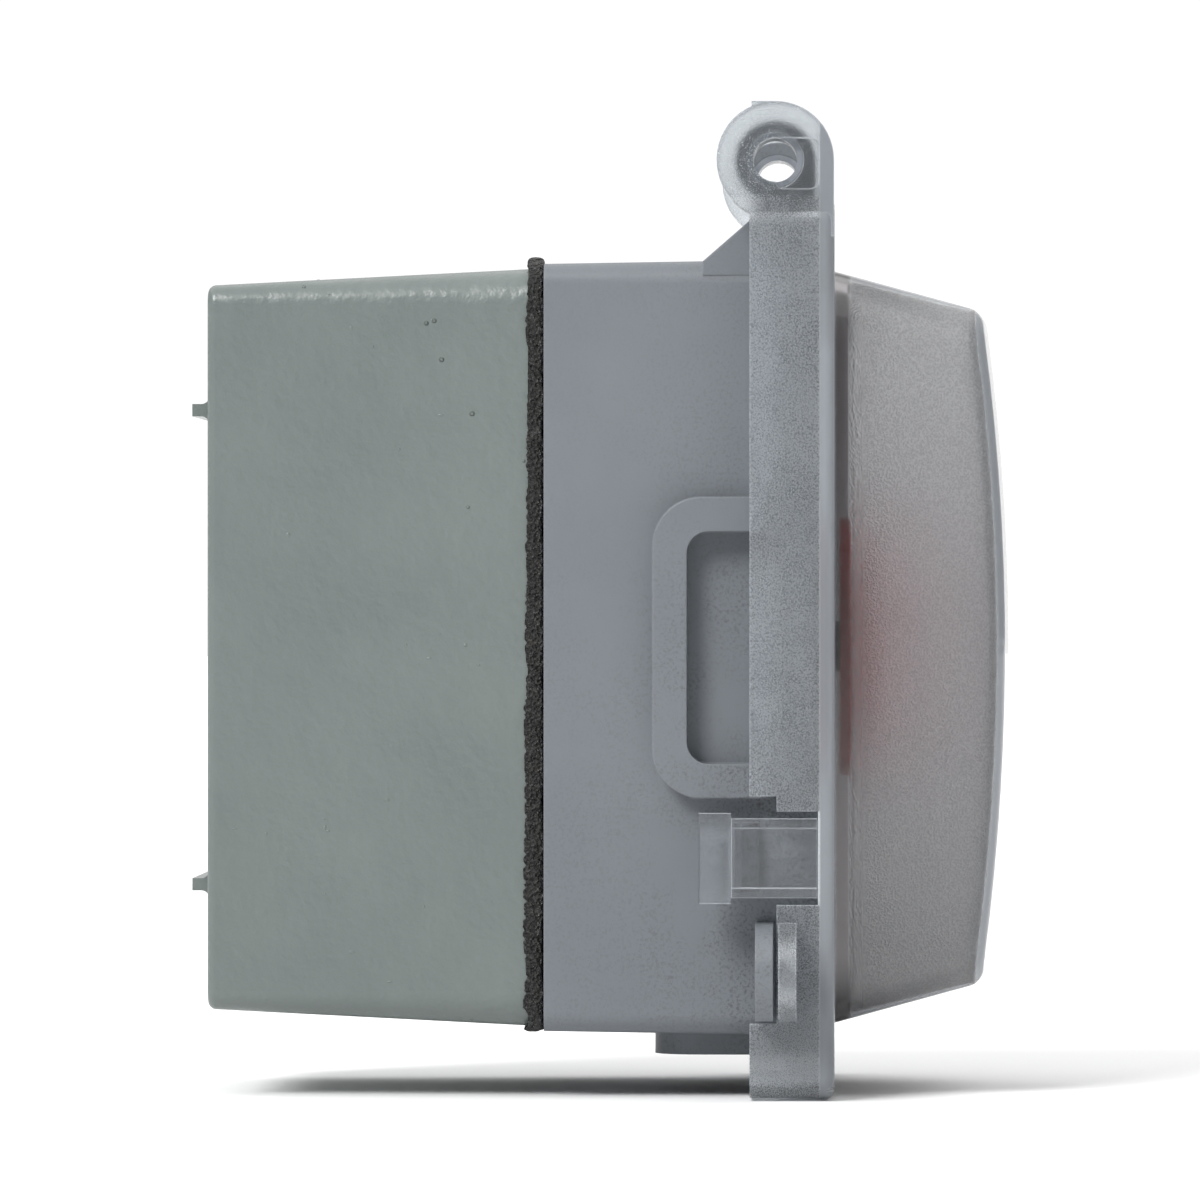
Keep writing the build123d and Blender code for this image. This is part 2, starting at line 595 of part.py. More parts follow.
def lock_nut():
    hexagon = RegularPolygon(LOCK_NUT_WIDTH / 2, 6, major_radius=False)
    nut = extrude(FRONT_VIEW.offset(NUT_FRONT - LOCK_NUT_THICKNESS) * hexagon, LOCK_NUT_THICKNESS)
    return nut - rod(BARREL_RADIUS + THREAD_CLEARANCE, NUT_FRONT - LOCK_NUT_THICKNESS, NUT_FRONT)


def button_head():
    """The mushroom head: crowned front, round edge, and a hollow that clears the collar."""
    head = rod(HEAD_RADIUS, HEAD_REAR, HEAD_FRONT)
    ball = Pos(0, -(HEAD_FRONT - HEAD_CROWN), 0) * Sphere(HEAD_CROWN)
    head = fillet((head & ball).edges().group_by(Axis.Y)[0], HEAD_EDGE)
    hollow = COLLAR_RADIUS + HEAD_HOLLOW_CLEARANCE
    head -= rod(hollow, HEAD_REAR, HOLLOW_CEILING)
    return head - rod(STEM_RADIUS, HOLLOW_CEILING, STEM_FRONT)


def button_stem():
    stem = rod(STEM_RADIUS, STEM_REAR, STEM_FRONT)
    return stem + rod(STEM_COLLAR_RADIUS, STEM_COLLAR_FRONT - STEM_COLLAR_THICKNESS, STEM_COLLAR_FRONT)


def button_spring():
    radius = (STEM_RADIUS + SPRING_ROOM_RADIUS) / 2
    return coil(radius, SPRING_WIRE, SPRING_COILS, SPRING_ROOM_REAR,
                STEM_COLLAR_FRONT - STEM_COLLAR_THICKNESS)


# ---- Contact block

def contact_case():
    """The open-backed case of the contact block, with a terminal ledge above and below."""
    case = block(CASE_WIDTH, CASE_HEIGHT, CASE_REAR, CASE_FRONT)
    inner_width = CASE_WIDTH - 2 * CASE_WALL
    inner_height = CASE_HEIGHT - 2 * CASE_WALL
    case -= block(inner_width, inner_height, CASE_REAR, CASE_FRONT - CASE_WALL)
    case -= rod(STEM_RADIUS + SCREW_HOLE_CLEARANCE, CASE_FRONT - CASE_WALL, CASE_FRONT)
    guide = CARRIER_WIDTH / 2 + GUIDE_CLEARANCE + GUIDE_THICKNESS / 2
    for side in (1, -1):
        case += block(GUIDE_THICKNESS, CARRIER_WIDTH, CARRIER_REAR - BUTTON_TRAVEL, CASE_FRONT,
                      x=side * guide)
        case += block(STRIP_WIDTH + 3.0, TERMINAL_REACH, CASE_REAR, STRIP_REAR, z=side * TERMINAL_Z)
        slot_top = STRIP_FRONT + CASE_FIT
        slot_z = side * (CASE_HEIGHT / 2 - CASE_WALL / 2)
        case -= block(STRIP_WIDTH + 2 * CASE_FIT, CASE_WALL, STRIP_REAR, slot_top, z=slot_z)
        case -= rod(TERMINAL_SCREW_RADIUS + THREAD_CLEARANCE, CASE_REAR, STRIP_REAR, z=side * TERMINAL_Z)
    return case


def contact_cover():
    """The snap-in back of the contact block, with a seat for the contact spring."""
    fit = 2 * (CASE_WALL + CASE_FIT)
    cover = block(CASE_WIDTH - fit, CASE_HEIGHT - fit, CASE_REAR, COVER_FRONT)
    return cover + rod(CONTACT_SPRING_RADIUS - 0.6, COVER_FRONT, COVER_FRONT + 2.0)


def fixed_contacts():
    end = TERMINAL_Z + TERMINAL_REACH / 2 - 0.8
    length = end - STRIP_INNER
    strips = []
    for side in (1, -1):
        strip = block(STRIP_WIDTH, length, STRIP_REAR, STRIP_FRONT, z=side * (STRIP_INNER + length / 2))
        strip -= rod(TERMINAL_SCREW_RADIUS + SCREW_HOLE_CLEARANCE, STRIP_REAR, STRIP_FRONT,
                     z=side * TERMINAL_Z)
        strips.append(strip)
    return strips


def terminal_screws():
    length = STRIP_FRONT - CASE_REAR - 0.6
    return [pan_screw(TERMINAL_SCREW_RADIUS, TERMINAL_HEAD_RADIUS, TERMINAL_HEAD_THICKNESS, length,
                      STRIP_FRONT, z=side * TERMINAL_Z) for side in (1, -1)]


def contact_carrier():
    carrier = block(CARRIER_WIDTH, CARRIER_WIDTH, CARRIER_REAR, STEM_REAR)
    slot_front = BRIDGE_REAR + BRIDGE_THICKNESS + CASE_FIT
    carrier -= block(BRIDGE_WIDTH + 2 * CASE_FIT, CARRIER_WIDTH, BRIDGE_REAR - CASE_FIT, slot_front)
    return carrier


def moving_contact():
    return block(BRIDGE_WIDTH, BRIDGE_LENGTH, BRIDGE_REAR, BRIDGE_REAR + BRIDGE_THICKNESS)


def contact_spring():
    return coil(CONTACT_SPRING_RADIUS + 0.2, CONTACT_SPRING_WIRE, 5, COVER_FRONT, CARRIER_REAR)


# ---- Lid

def dome(inset, rear, front, edge):
    """The dome's outer form, or its hollow when it is inset by the wall."""
    width = 2 * (LID_HALF_WIDTH - DOME_INSET - inset)
    height = 2 * (LID_HALF_HEIGHT - DOME_INSET - inset)
    corner = max(DOME_CORNER - inset, 1.0)
    form = plate(width, height, corner, rear, front + 5.0, -DOME_TAPER)
    ball = Pos(0, -(front - DOME_CROWN), 0) * Sphere(DOME_CROWN)
    form = form & ball
    crown = form.faces().sort_by(Axis.Y)[0]
    return fillet(crown.edges(), edge)


def end_lug(left, right):
    """The flat end of the hinge: square behind, round in front, carrying on the skirt's side."""
    foot = LID_HALF_HEIGHT - LID_CORNER - 2.0
    top = HINGE_Z + KNUCKLE_RADIUS
    rear = HINGE_DEPTH - LUG_SQUARE
    front = HINGE_DEPTH + KNUCKLE_RADIUS
    outline = Pos(HINGE_DEPTH, HINGE_Z) * Circle(KNUCKLE_RADIUS)
    outline += Pos((rear + HINGE_DEPTH) / 2, (foot + top) / 2) * Rectangle(HINGE_DEPTH - rear, top - foot)
    outline += Pos((HINGE_DEPTH + front) / 2, (foot + HINGE_Z) / 2) * Rectangle(
        front - HINGE_DEPTH, HINGE_Z - foot)
    lug = across(outline, left, right)
    pocket_front = front - 2.3
    pocket_low = HINGE_Z - 4.4
    pocket_high = HINGE_Z + HINGE_HOLE_RADIUS
    pocket = Pos((HINGE_DEPTH + pocket_front) / 2, (pocket_low + pocket_high) / 2) * RectangleRounded(
        pocket_front - HINGE_DEPTH, pocket_high - pocket_low, 1.4)
    return lug - across(pocket, left, right)


def lid_hinge(side):
    """One end of the hinge: end lug, round knuckle and the bore for the hollow pin."""
    knuckle = Pos(HINGE_DEPTH, HINGE_Z) * Circle(KNUCKLE_RADIUS)
    bore = Pos(HINGE_DEPTH, HINGE_Z) * Circle(PIN_RADIUS + HINGE_CLEARANCE)
    sight = Pos(HINGE_DEPTH, HINGE_Z) * Circle(HINGE_HOLE_RADIUS)
    inner = EAR_OUTER + EAR_GAP
    outer = LID_HALF_WIDTH - LUG_STEP
    piece = end_lug(SKIRT_INNER, outer) + across(knuckle, inner, SKIRT_INNER)
    piece -= across(bore, inner, SKIRT_INNER)
    piece -= across(sight, SKIRT_INNER, outer)
    return piece if side > 0 else mirror(piece, about=Plane.YZ)


def lid_shell():
    width = 2 * LID_HALF_WIDTH
    height = 2 * LID_HALF_HEIGHT
    shell = plate(width, height, LID_CORNER, SKIRT_REAR, FLANGE_FRONT)
    shell = fillet(shell.edges().group_by(Axis.Y)[0], FLANGE_EDGE)
    hollow_corner = LID_CORNER - LID_WALL
    shell -= plate(width - 2 * LID_WALL, height - 2 * LID_WALL, hollow_corner, SKIRT_REAR, FLANGE_REAR)
    shell += dome(0, FLANGE_FRONT - 0.5, DOME_FRONT, DOME_EDGE)
    shell -= dome(LID_WALL, FLANGE_REAR, DOME_FRONT - LID_WALL, DOME_EDGE - LID_WALL * 0.6)

    bore = PIN_RADIUS + HINGE_CLEARANCE
    for side in (1, -1):
        notch_left = EAR_INNER - EAR_GAP
        notch_right = EAR_OUTER + EAR_GAP
        low = LID_HALF_HEIGHT - 2 * LID_WALL
        ends = (notch_left, notch_right) if side > 0 else (-notch_right, -notch_left)
        shell -= side_box(SKIRT_REAR, FLANGE_REAR, low, LID_HALF_HEIGHT, *ends)
        shell += lid_hinge(side)

    low = LATCH_MIDDLE - LATCH_HEAD_WIDTH / 2
    high = LATCH_MIDDLE + LATCH_HEAD_WIDTH / 2
    step = LID_EAR_REAR
    outside = -LID_HALF_WIDTH
    inside = -SKIRT_INNER
    shell -= side_box(SKIRT_REAR, FLANGE_REAR, low, high, outside, inside)
    step_low = PADLOCK_MIDDLE - PADLOCK_EAR_RADIUS - 0.6
    shell -= side_box(SKIRT_REAR, step - 0.3, step_low, high + 2.3, outside, inside)
    ear = padlock_ear(LID_EAR_REAR, LID_EAR_FRONT, -(SKIRT_INNER + LID_WALL / 2))
    return shell + ear


def latch_tongue():
    """The flexing tongue in the skirt's window: root, ribbed arm, finger lip and hook."""
    far, face = hook_depths()
    root = FLANGE_REAR - LATCH_ROOT_GAP
    outer = -LID_HALF_WIDTH
    inner = outer + LATCH_ARM_THICKNESS
    low = LATCH_MIDDLE - LATCH_ARM_WIDTH / 2
    high = LATCH_MIDDLE + LATCH_ARM_WIDTH / 2
    arm = side_box(face - 0.5, root, low, high, outer + 0.5, inner)
    for edge_low in (low, high - 1.5):
        arm += side_box(face - 0.5, root, edge_low, edge_low + 1.5, outer, inner + 0.6)
    head_half = LATCH_HEAD_WIDTH / 2 - 0.2
    catch_top = -base_half(BOX_WIDTH, face) - CATCH_HEIGHT
    hook_x = catch_top - CATCH_CLEARANCE
    head = side_box(far, face, LATCH_MIDDLE - head_half, LATCH_MIDDLE + head_half,
                    outer - LATCH_LIP, hook_x)
    head = fillet(head.edges().filter_by(Axis.Z), 0.5)
    return arm + head


# ---- Writing the pieces

PIECES = {
    "back_box": back_box,
    "top_entry_plug": lambda: entry_plug(1),
    "bottom_entry_plug": lambda: entry_plug(-1),
    "ground_screw": ground_screw,
    "box_gasket": box_gasket,
    "cover_base": cover_base,
    "base_screws": base_screws,
    "hinge_pins": hinge_pins,
    "panel_seal": panel_seal,
    "front_panel": front_panel,
    "panel_screws": panel_screws,
    "button_barrel": button_barrel,
    "button_seal": button_seal,
    "anti_twist_washer": anti_twist_washer,
    "lock_nut": lock_nut,
    "button_head": button_head,
    "button_stem": button_stem,
    "button_spring": button_spring,
    "contact_case": contact_case,
    "contact_cover": contact_cover,
    "fixed_contacts": fixed_contacts,
    "terminal_screws": terminal_screws,
    "contact_carrier": contact_carrier,
    "moving_contact": moving_contact,
    "contact_spring": contact_spring,
    "lid_shell": lid_shell,
    "latch_tongue": latch_tongue,
}

os.makedirs("parts", exist_ok=True)
for name, make in PIECES.items():
    made = make()
    if isinstance(made, list):
        made = Compound(children=[solid for piece in made for solid in piece.solids()])
    export_step(made, f"parts/{name}.step")
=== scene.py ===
"""The looks of a covered push-button station: cast box, sponge gasket, base, red button and clear lid.

Metres throughout. The origin is the middle of the box's back face, +Z is up and the button faces -Y.
"""

import math

import bmesh
import bpy
from mathutils import Matrix, Vector


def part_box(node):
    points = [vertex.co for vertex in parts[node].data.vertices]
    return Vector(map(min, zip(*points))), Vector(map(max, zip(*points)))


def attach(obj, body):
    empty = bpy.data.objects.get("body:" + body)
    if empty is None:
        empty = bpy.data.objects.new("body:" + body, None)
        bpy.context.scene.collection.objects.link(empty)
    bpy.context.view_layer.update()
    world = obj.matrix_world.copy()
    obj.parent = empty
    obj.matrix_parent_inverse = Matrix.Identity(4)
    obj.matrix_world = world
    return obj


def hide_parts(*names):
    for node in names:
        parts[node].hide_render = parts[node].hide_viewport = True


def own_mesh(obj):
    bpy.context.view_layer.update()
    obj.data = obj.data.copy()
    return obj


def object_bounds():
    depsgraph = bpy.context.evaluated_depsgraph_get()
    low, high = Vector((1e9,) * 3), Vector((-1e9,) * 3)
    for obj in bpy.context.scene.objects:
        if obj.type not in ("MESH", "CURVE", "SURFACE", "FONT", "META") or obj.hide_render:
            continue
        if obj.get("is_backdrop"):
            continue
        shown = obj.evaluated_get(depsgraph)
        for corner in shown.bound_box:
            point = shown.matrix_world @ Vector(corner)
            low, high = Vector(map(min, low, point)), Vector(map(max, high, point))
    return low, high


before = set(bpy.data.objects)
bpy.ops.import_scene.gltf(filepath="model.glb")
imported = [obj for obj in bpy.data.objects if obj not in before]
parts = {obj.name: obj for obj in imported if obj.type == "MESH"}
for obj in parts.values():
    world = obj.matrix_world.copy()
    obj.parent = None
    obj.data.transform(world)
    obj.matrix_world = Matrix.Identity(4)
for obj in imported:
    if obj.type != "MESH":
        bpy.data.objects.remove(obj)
cad_low, cad_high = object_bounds()


# ---- Back box
# A one-gang zinc casting under a thick coat of grey-green enamel. The coat has a slight orange
# peel and caught grit in a few places before it dried.

def finish(name):
    """A new material with its shader, and the place on the piece that its pattern is read from."""
    made = bpy.data.materials.new(name)
    made.use_nodes = True
    tree = made.node_tree
    shader = tree.nodes["Principled BSDF"]
    place = tree.nodes.new("ShaderNodeTexCoord").outputs["Object"]
    return made, tree, shader, place


def noise(tree, place, scale, detail=2.0, rough=0.5, stretch=None):
    if stretch:
        turn = tree.nodes.new("ShaderNodeMapping")
        turn.inputs["Scale"].default_value = stretch
        tree.links.new(place, turn.inputs["Vector"])
        place = turn.outputs["Vector"]
    node = tree.nodes.new("ShaderNodeTexNoise")
    node.inputs["Scale"].default_value = scale
    node.inputs["Detail"].default_value = detail
    node.inputs["Roughness"].default_value = rough
    tree.links.new(place, node.inputs["Vector"])
    return node.outputs["Fac"]


def cells(tree, place, scale, feature="F1"):
    node = tree.nodes.new("ShaderNodeTexVoronoi")
    node.feature = feature
    node.inputs["Scale"].default_value = scale
    tree.links.new(place, node.inputs["Vector"])
    return node.outputs["Distance"]


def spread(tree, value, low, high, to_low=0.0, to_high=1.0, smooth=False):
    """Takes a pattern's range from low..high to to_low..to_high, held at the ends."""
    node = tree.nodes.new("ShaderNodeMapRange")
    node.interpolation_type = "SMOOTHSTEP" if smooth else "LINEAR"
    for name, number in zip(("From Min", "From Max", "To Min", "To Max"), (low, high, to_low, to_high)):
        node.inputs[name].default_value = number
    tree.links.new(value, node.inputs["Value"])
    return node.outputs["Result"]


def tint(tree, amount, under, over):
    """Lays one colour over another by a pattern. Either may be a colour or another pattern's output."""
    node = tree.nodes.new("ShaderNodeMix")
    node.data_type = "RGBA"
    for index, colour in ((6, under), (7, over)):
        if isinstance(colour, tuple):
            node.inputs[index].default_value = (*colour, 1.0)
        else:
            tree.links.new(colour, node.inputs[index])
    tree.links.new(amount, node.inputs[0])
    return node.outputs[2]


def reckon(tree, how, first, second):
    node = tree.nodes.new("ShaderNodeMath")
    node.operation = how
    for index, value in enumerate((first, second)):
        if isinstance(value, (int, float)):
            node.inputs[index].default_value = value
        else:
            tree.links.new(value, node.inputs[index])
    return node.outputs[0]


def relief(tree, shader, height, depth, strength=1.0, under=None):
    """Raises the surface by a pattern, depth metres at its full strength."""
    node = tree.nodes.new("ShaderNodeBump")
    node.inputs["Distance"].default_value = depth
    node.inputs["Strength"].default_value = strength
    tree.links.new(height, node.inputs["Height"])
    if under is not None:
        tree.links.new(under, node.inputs["Normal"])
    tree.links.new(node.outputs["Normal"], shader.inputs["Normal"])
    return node.outputs["Normal"]


def coat(node, material):
    mesh = parts[node].data
    if not mesh.materials:
        mesh.materials.append(material)
    for index in range(len(mesh.materials)):
        mesh.materials[index] = material


enamel, tree, shader, place = finish("box_enamel")
film = noise(tree, place, 38, 3, 0.55)
colour = tint(tree, spread(tree, film, 0.35, 0.65), (0.121, 0.145, 0.139), (0.134, 0.159, 0.152))
stain = noise(tree, place, 11, 5, 0.62)
colour = tint(tree, spread(tree, stain, 0.56, 0.76, 0, 0.30), colour, (0.143, 0.158, 0.145))
grit = cells(tree, place, 230)
speck = spread(tree, grit, 0.05, 0.10, 1.0, 0.0)
rare = spread(tree, noise(tree, place, 46, 0), 0.60, 0.64)
speck = reckon(tree, "MULTIPLY", speck, rare)
colour = tint(tree, reckon(tree, "MULTIPLY", speck, 0.35), colour, (0.10, 0.115, 0.108))
tree.links.new(colour, shader.inputs["Base Color"])
gloss = noise(tree, place, 90, 4, 0.6)
tree.links.new(spread(tree, gloss, 0.3, 0.7, 0.30, 0.44), shader.inputs["Roughness"])
shader.inputs["Coat Weight"].default_value = 0.25
shader.inputs["Coat Roughness"].default_value = 0.22
waves = reckon(tree, "MULTIPLY", noise(tree, place, 170, 1), 1.3)
peel = reckon(tree, "ADD", noise(tree, place, 620, 2, 0.5), waves)
lumps = reckon(tree, "ADD", peel, reckon(tree, "MULTIPLY", speck, 2.5))
relief(tree, shader, lumps, 0.00017, 1.0)
coat("back_box", enamel)

# Nibs: grit and drips caught under the enamel, scattered over the box's four outer walls.
# Each is a low dome of paint about a millimetre across.

NIBS_PER_M2 = 4200.0
NIB_RADIUS = 0.00034
WALL_DRAFT = math.radians(2.9)
EDGE_MARGIN = 0.003
CORNER_MARGIN = 0.006


def plan(name, source, inputs, result):
    """A new geometry node tree with named inputs: the tree, its two ends, and its way to join sockets."""
    group = bpy.data.node_groups.new(name, "GeometryNodeTree")
    group.interface.new_socket(source, in_out="INPUT", socket_type="NodeSocketGeometry")
    for label in inputs:
        kind = "NodeSocketInt" if label == "Seed" else "NodeSocketFloat"
        group.interface.new_socket(label, in_out="INPUT", socket_type=kind)
    group.interface.new_socket(result, in_out="OUTPUT", socket_type="NodeSocketGeometry")
    start = group.nodes.new("NodeGroupInput")
    end = group.nodes.new("NodeGroupOutput")
    return group, start, end, group.links.new


def hand_out(group, geometry, material, end):
    """The end of a tree: copies made real and given their material."""
    whole = group.nodes.new("GeometryNodeRealizeInstances")
    group.links.new(geometry, whole.inputs["Geometry"])
    dress = group.nodes.new("GeometryNodeSetMaterial")
    dress.inputs["Material"].default_value = material
    group.links.new(whole.outputs["Geometry"], dress.inputs["Geometry"])
    group.links.new(dress.outputs["Geometry"], end.inputs[0])


def nib_tree(paint):
    sizes = ("Nibs per square metre", "Nib radius", "Seed")
    group, start, end, join = plan("paint_nibs", "Walls", sizes, "Nibs")
    points = group.nodes.new("GeometryNodeDistributePointsOnFaces")
    join(start.outputs["Walls"], points.inputs["Mesh"])
    join(start.outputs["Nibs per square metre"], points.inputs["Density"])
    join(start.outputs["Seed"], points.inputs["Seed"])
    drop = group.nodes.new("GeometryNodeMeshUVSphere")
    drop.inputs["Segments"].default_value = 14
    drop.inputs["Rings"].default_value = 8
    join(start.outputs["Nib radius"], drop.inputs["Radius"])
    size = group.nodes.new("FunctionNodeRandomValue")
    size.data_type = "FLOAT_VECTOR"
    size.inputs["Min"].default_value = (0.35, 0.35, 0.10)
    size.inputs["Max"].default_value = (1.35, 1.0, 0.30)
    join(start.outputs["Seed"], size.inputs["Seed"])
    lay = group.nodes.new("GeometryNodeInstanceOnPoints")
    join(points.outputs["Points"], lay.inputs["Points"])
    join(drop.outputs["Mesh"], lay.inputs["Instance"])
    join(points.outputs["Rotation"], lay.inputs["Rotation"])
    join(size.outputs["Value"], lay.inputs["Scale"])
    hand_out(group, lay.outputs["Instances"], paint, end)
    return group


def grown(name, mesh, group, values):
    """Runs a node tree on a mesh with named values and keeps the result as a plain mesh piece."""
    seedling = bpy.data.objects.new(name + "_start", mesh)
    bpy.context.scene.collection.objects.link(seedling)
    modifier = seedling.modifiers.new("grow", "NODES")
    modifier.node_group = group
    for item in group.interface.items_tree:
        if item.in_out == "INPUT" and item.name in values:
            modifier[item.identifier] = values[item.name]
    settled = seedling.evaluated_get(bpy.context.evaluated_depsgraph_get())
    made = bpy.data.meshes.new_from_object(settled)
    bpy.data.objects.remove(seedling)
    made.name = name
    made.shade_smooth()
    piece = bpy.data.objects.new(name, made)
    bpy.context.scene.collection.objects.link(piece)
    return piece


box_low, box_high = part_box("back_box")
front_y = box_low.y + EDGE_MARGIN
back_y = -EDGE_MARGIN
walls = bmesh.new()
for x, z in ((1, 0), (-1, 0), (0, 1), (0, -1)):
    corners = []
    for y, along in ((front_y, -1), (front_y, 1), (back_y, 1), (back_y, -1)):
        drawn_in = (y - box_low.y) * math.tan(WALL_DRAFT)
        if x:
            spot = (x * (box_high.x - drawn_in), y, along * (box_high.z - CORNER_MARGIN))
        else:
            spot = (along * (box_high.x - CORNER_MARGIN), y, z * (box_high.z - drawn_in))
        corners.append(walls.verts.new(spot))
    walls.faces.new(corners)
walls.normal_update()
for face in walls.faces:
    middle = face.calc_center_median()
    if face.normal.dot(Vector((middle.x, 0, middle.z))) < 0:
        face.normal_flip()
wall_mesh = bpy.data.meshes.new("nib_walls")
walls.to_mesh(wall_mesh)
walls.free()
nibs = grown("paint_nibs", wall_mesh, nib_tree(enamel),
             {"Nibs per square metre": NIBS_PER_M2, "Nib radius": NIB_RADIUS, "Seed": 7})
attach(nibs, "housing")


# ---- Entry plugs
# Slotted cast plugs screwed flush into the ends of the box and painted with it. The paint is
# thinner on them and a little glossier where a driver has been.

plug_enamel, tree, shader, place = finish("plug_enamel")
wear = noise(tree, place, 140, 4, 0.6)
colour = tint(tree, spread(tree, wear, 0.35, 0.65), (0.124, 0.149, 0.142), (0.142, 0.168, 0.160))
colour = tint(tree, spread(tree, noise(tree, place, 420, 3), 0.66, 0.72), colour, (0.33, 0.33, 0.32))
tree.links.new(colour, shader.inputs["Base Color"])
tree.links.new(spread(tree, wear, 0.3, 0.7, 0.28, 0.46), shader.inputs["Roughness"])
relief(tree, shader, noise(tree, place, 700, 2), 0.00005, 0.8)
for name in ("top_entry_plug", "bottom_entry_plug"):
    coat(name, plug_enamel)


# ---- Ground screw
# A steel hex washer head screw dyed green, driven into the boss in the box's floor.

green_dye, tree, shader, place = finish("green_dye")
patchy = noise(tree, place, 500, 4, 0.6)
colour = tint(tree, spread(tree, patchy, 0.35, 0.7), (0.016, 0.13, 0.035), (0.05, 0.24, 0.08))
colour = tint(tree, spread(tree, noise(tree, place, 1500, 2), 0.68, 0.74), colour, (0.42, 0.44, 0.40))
tree.links.new(colour, shader.inputs["Base Color"])
shader.inputs["Metallic"].default_value = 0.75
tree.links.new(spread(tree, patchy, 0.3, 0.7, 0.28, 0.45), shader.inputs["Roughness"])
relief(tree, shader, noise(tree, place, 1800, 2), 0.00003, 0.6)
coat("ground_screw", green_dye)


# ---- Box gasket
# A die-cut ring of black open-cell sponge, squeezed between box and base. Its cut edge stands
# out, wavers, and shows torn cells; the top swells where the strip is joined.

SPONGE_PROUD = 0.00035
SPONGE_WIDTH = 0.0056
JOIN_X = -0.030
JOIN_REACH = 0.0016
JOIN_RISE = 0.0010
JOIN_SPILL_FRONT = 0.0007
JOIN_SPILL_BACK = 0.0003
CREEP_LEAST = 0.00015
CREEP_RIPPLE = 0.00025
CREEP_LOW_DOWN = 0.00055

sponge_black, tree, shader, place = finish("sponge_black")
pores = cells(tree, place, 2000, "F1")
coarse = cells(tree, place, 1050, "F1")
fine = noise(tree, place, 2600, 3, 0.6)
colour = tint(tree, spread(tree, pores, 0.20, 0.75), (0.0022, 0.0021, 0.002), (0.022, 0.021, 0.020))
brown = noise(tree, place, 620, 4, 0.65)
colour = tint(tree, spread(tree, brown, 0.62, 0.74, 0, 0.5), colour, (0.075, 0.060, 0.043))
tree.links.new(colour, shader.inputs["Base Color"])
tree.links.new(spread(tree, fine, 0.35, 0.65, 0.30, 0.72), shader.inputs["Roughness"])
torn = reckon(tree, "ADD", pores, reckon(tree, "MULTIPLY", coarse, 0.9))
relief(tree, shader, torn, 0.00075, 1.0)


def sponge_tree(sponge):
    """A filleted ring swept with a rounded strip, then pitted and made uneven by its cells."""
    sizes = ("Ring width", "Ring height", "Ring corner", "Strip width", "Strip thickness", "Spacing",
             "Cell depth", "Waver")
    group, start, end, join = plan("sponge_ring", "Start", sizes, "Sponge")

    def curve(width, height, corner, spacing):
        loop = group.nodes.new("GeometryNodeCurvePrimitiveQuadrilateral")
        join(start.outputs[width], loop.inputs["Width"])
        join(start.outputs[height], loop.inputs["Height"])
        bend = group.nodes.new("GeometryNodeFilletCurve")
        bend.mode = "POLY"
        bend.inputs["Count"].default_value = 8
        join(loop.outputs["Curve"], bend.inputs["Curve"])
        join(corner, bend.inputs["Radius"])
        even = group.nodes.new("GeometryNodeResampleCurve")
        even.mode = "LENGTH"
        join(bend.outputs["Curve"], even.inputs["Curve"])
        join(spacing, even.inputs["Length"])
        return even.outputs["Curve"]

    path = curve("Ring width", "Ring height", start.outputs["Ring corner"], start.outputs["Spacing"])
    soft = reckon(group, "MULTIPLY", start.outputs["Strip thickness"], 0.36)
    wider = reckon(group, "MULTIPLY", start.outputs["Spacing"], 1.15)
    section = curve("Strip width", "Strip thickness", soft, wider)
    sweep = group.nodes.new("GeometryNodeCurveToMesh")
    join(path, sweep.inputs["Curve"])
    join(section, sweep.inputs["Profile Curve"])
    where = group.nodes.new("GeometryNodeInputPosition").outputs["Position"]
    facing = group.nodes.new("GeometryNodeInputNormal").outputs["Normal"]
    pore = group.nodes.new("ShaderNodeTexVoronoi")
    pore.inputs["Scale"].default_value = 1150.0
    join(where, pore.inputs["Vector"])
    pit = spread(group, pore.outputs["Distance"], 0.1, 0.55, -1.0, 0.0)
    swell = group.nodes.new("ShaderNodeTexNoise")
    swell.inputs["Scale"].default_value = 210.0
    swell.inputs["Detail"].default_value = 3.0
    join(where, swell.inputs["Vector"])
    drift = reckon(group, "SUBTRACT", swell.outputs["Fac"], 0.5)
    drift = reckon(group, "MULTIPLY", drift, start.outputs["Waver"])
    move = reckon(group, "ADD", reckon(group, "MULTIPLY", pit, start.outputs["Cell depth"]), drift)
    push = group.nodes.new("ShaderNodeVectorMath")
    push.operation = "SCALE"
    join(facing, push.inputs[0])
    join(move, push.inputs["Scale"])
    shape = group.nodes.new("GeometryNodeSetPosition")
    join(sweep.outputs["Mesh"], shape.inputs["Geometry"])
    join(push.outputs["Vector"], shape.inputs["Offset"])
    hand_out(group, shape.outputs["Geometry"], sponge, end)
    return group


def laid_along_depth(piece, centre):
    """Turns a piece made along Z to run along the depth, moves it to its place and faces it outwards."""
    shape = bmesh.new()
    shape.from_mesh(piece.data)
    turn = Matrix.Rotation(math.radians(90), 3, "X")
    bmesh.ops.rotate(shape, verts=shape.verts, cent=(0, 0, 0), matrix=turn)
    bmesh.ops.translate(shape, verts=shape.verts, vec=centre)
    bmesh.ops.recalc_face_normals(shape, faces=shape.faces)
    shape.to_mesh(piece.data)
    shape.free()


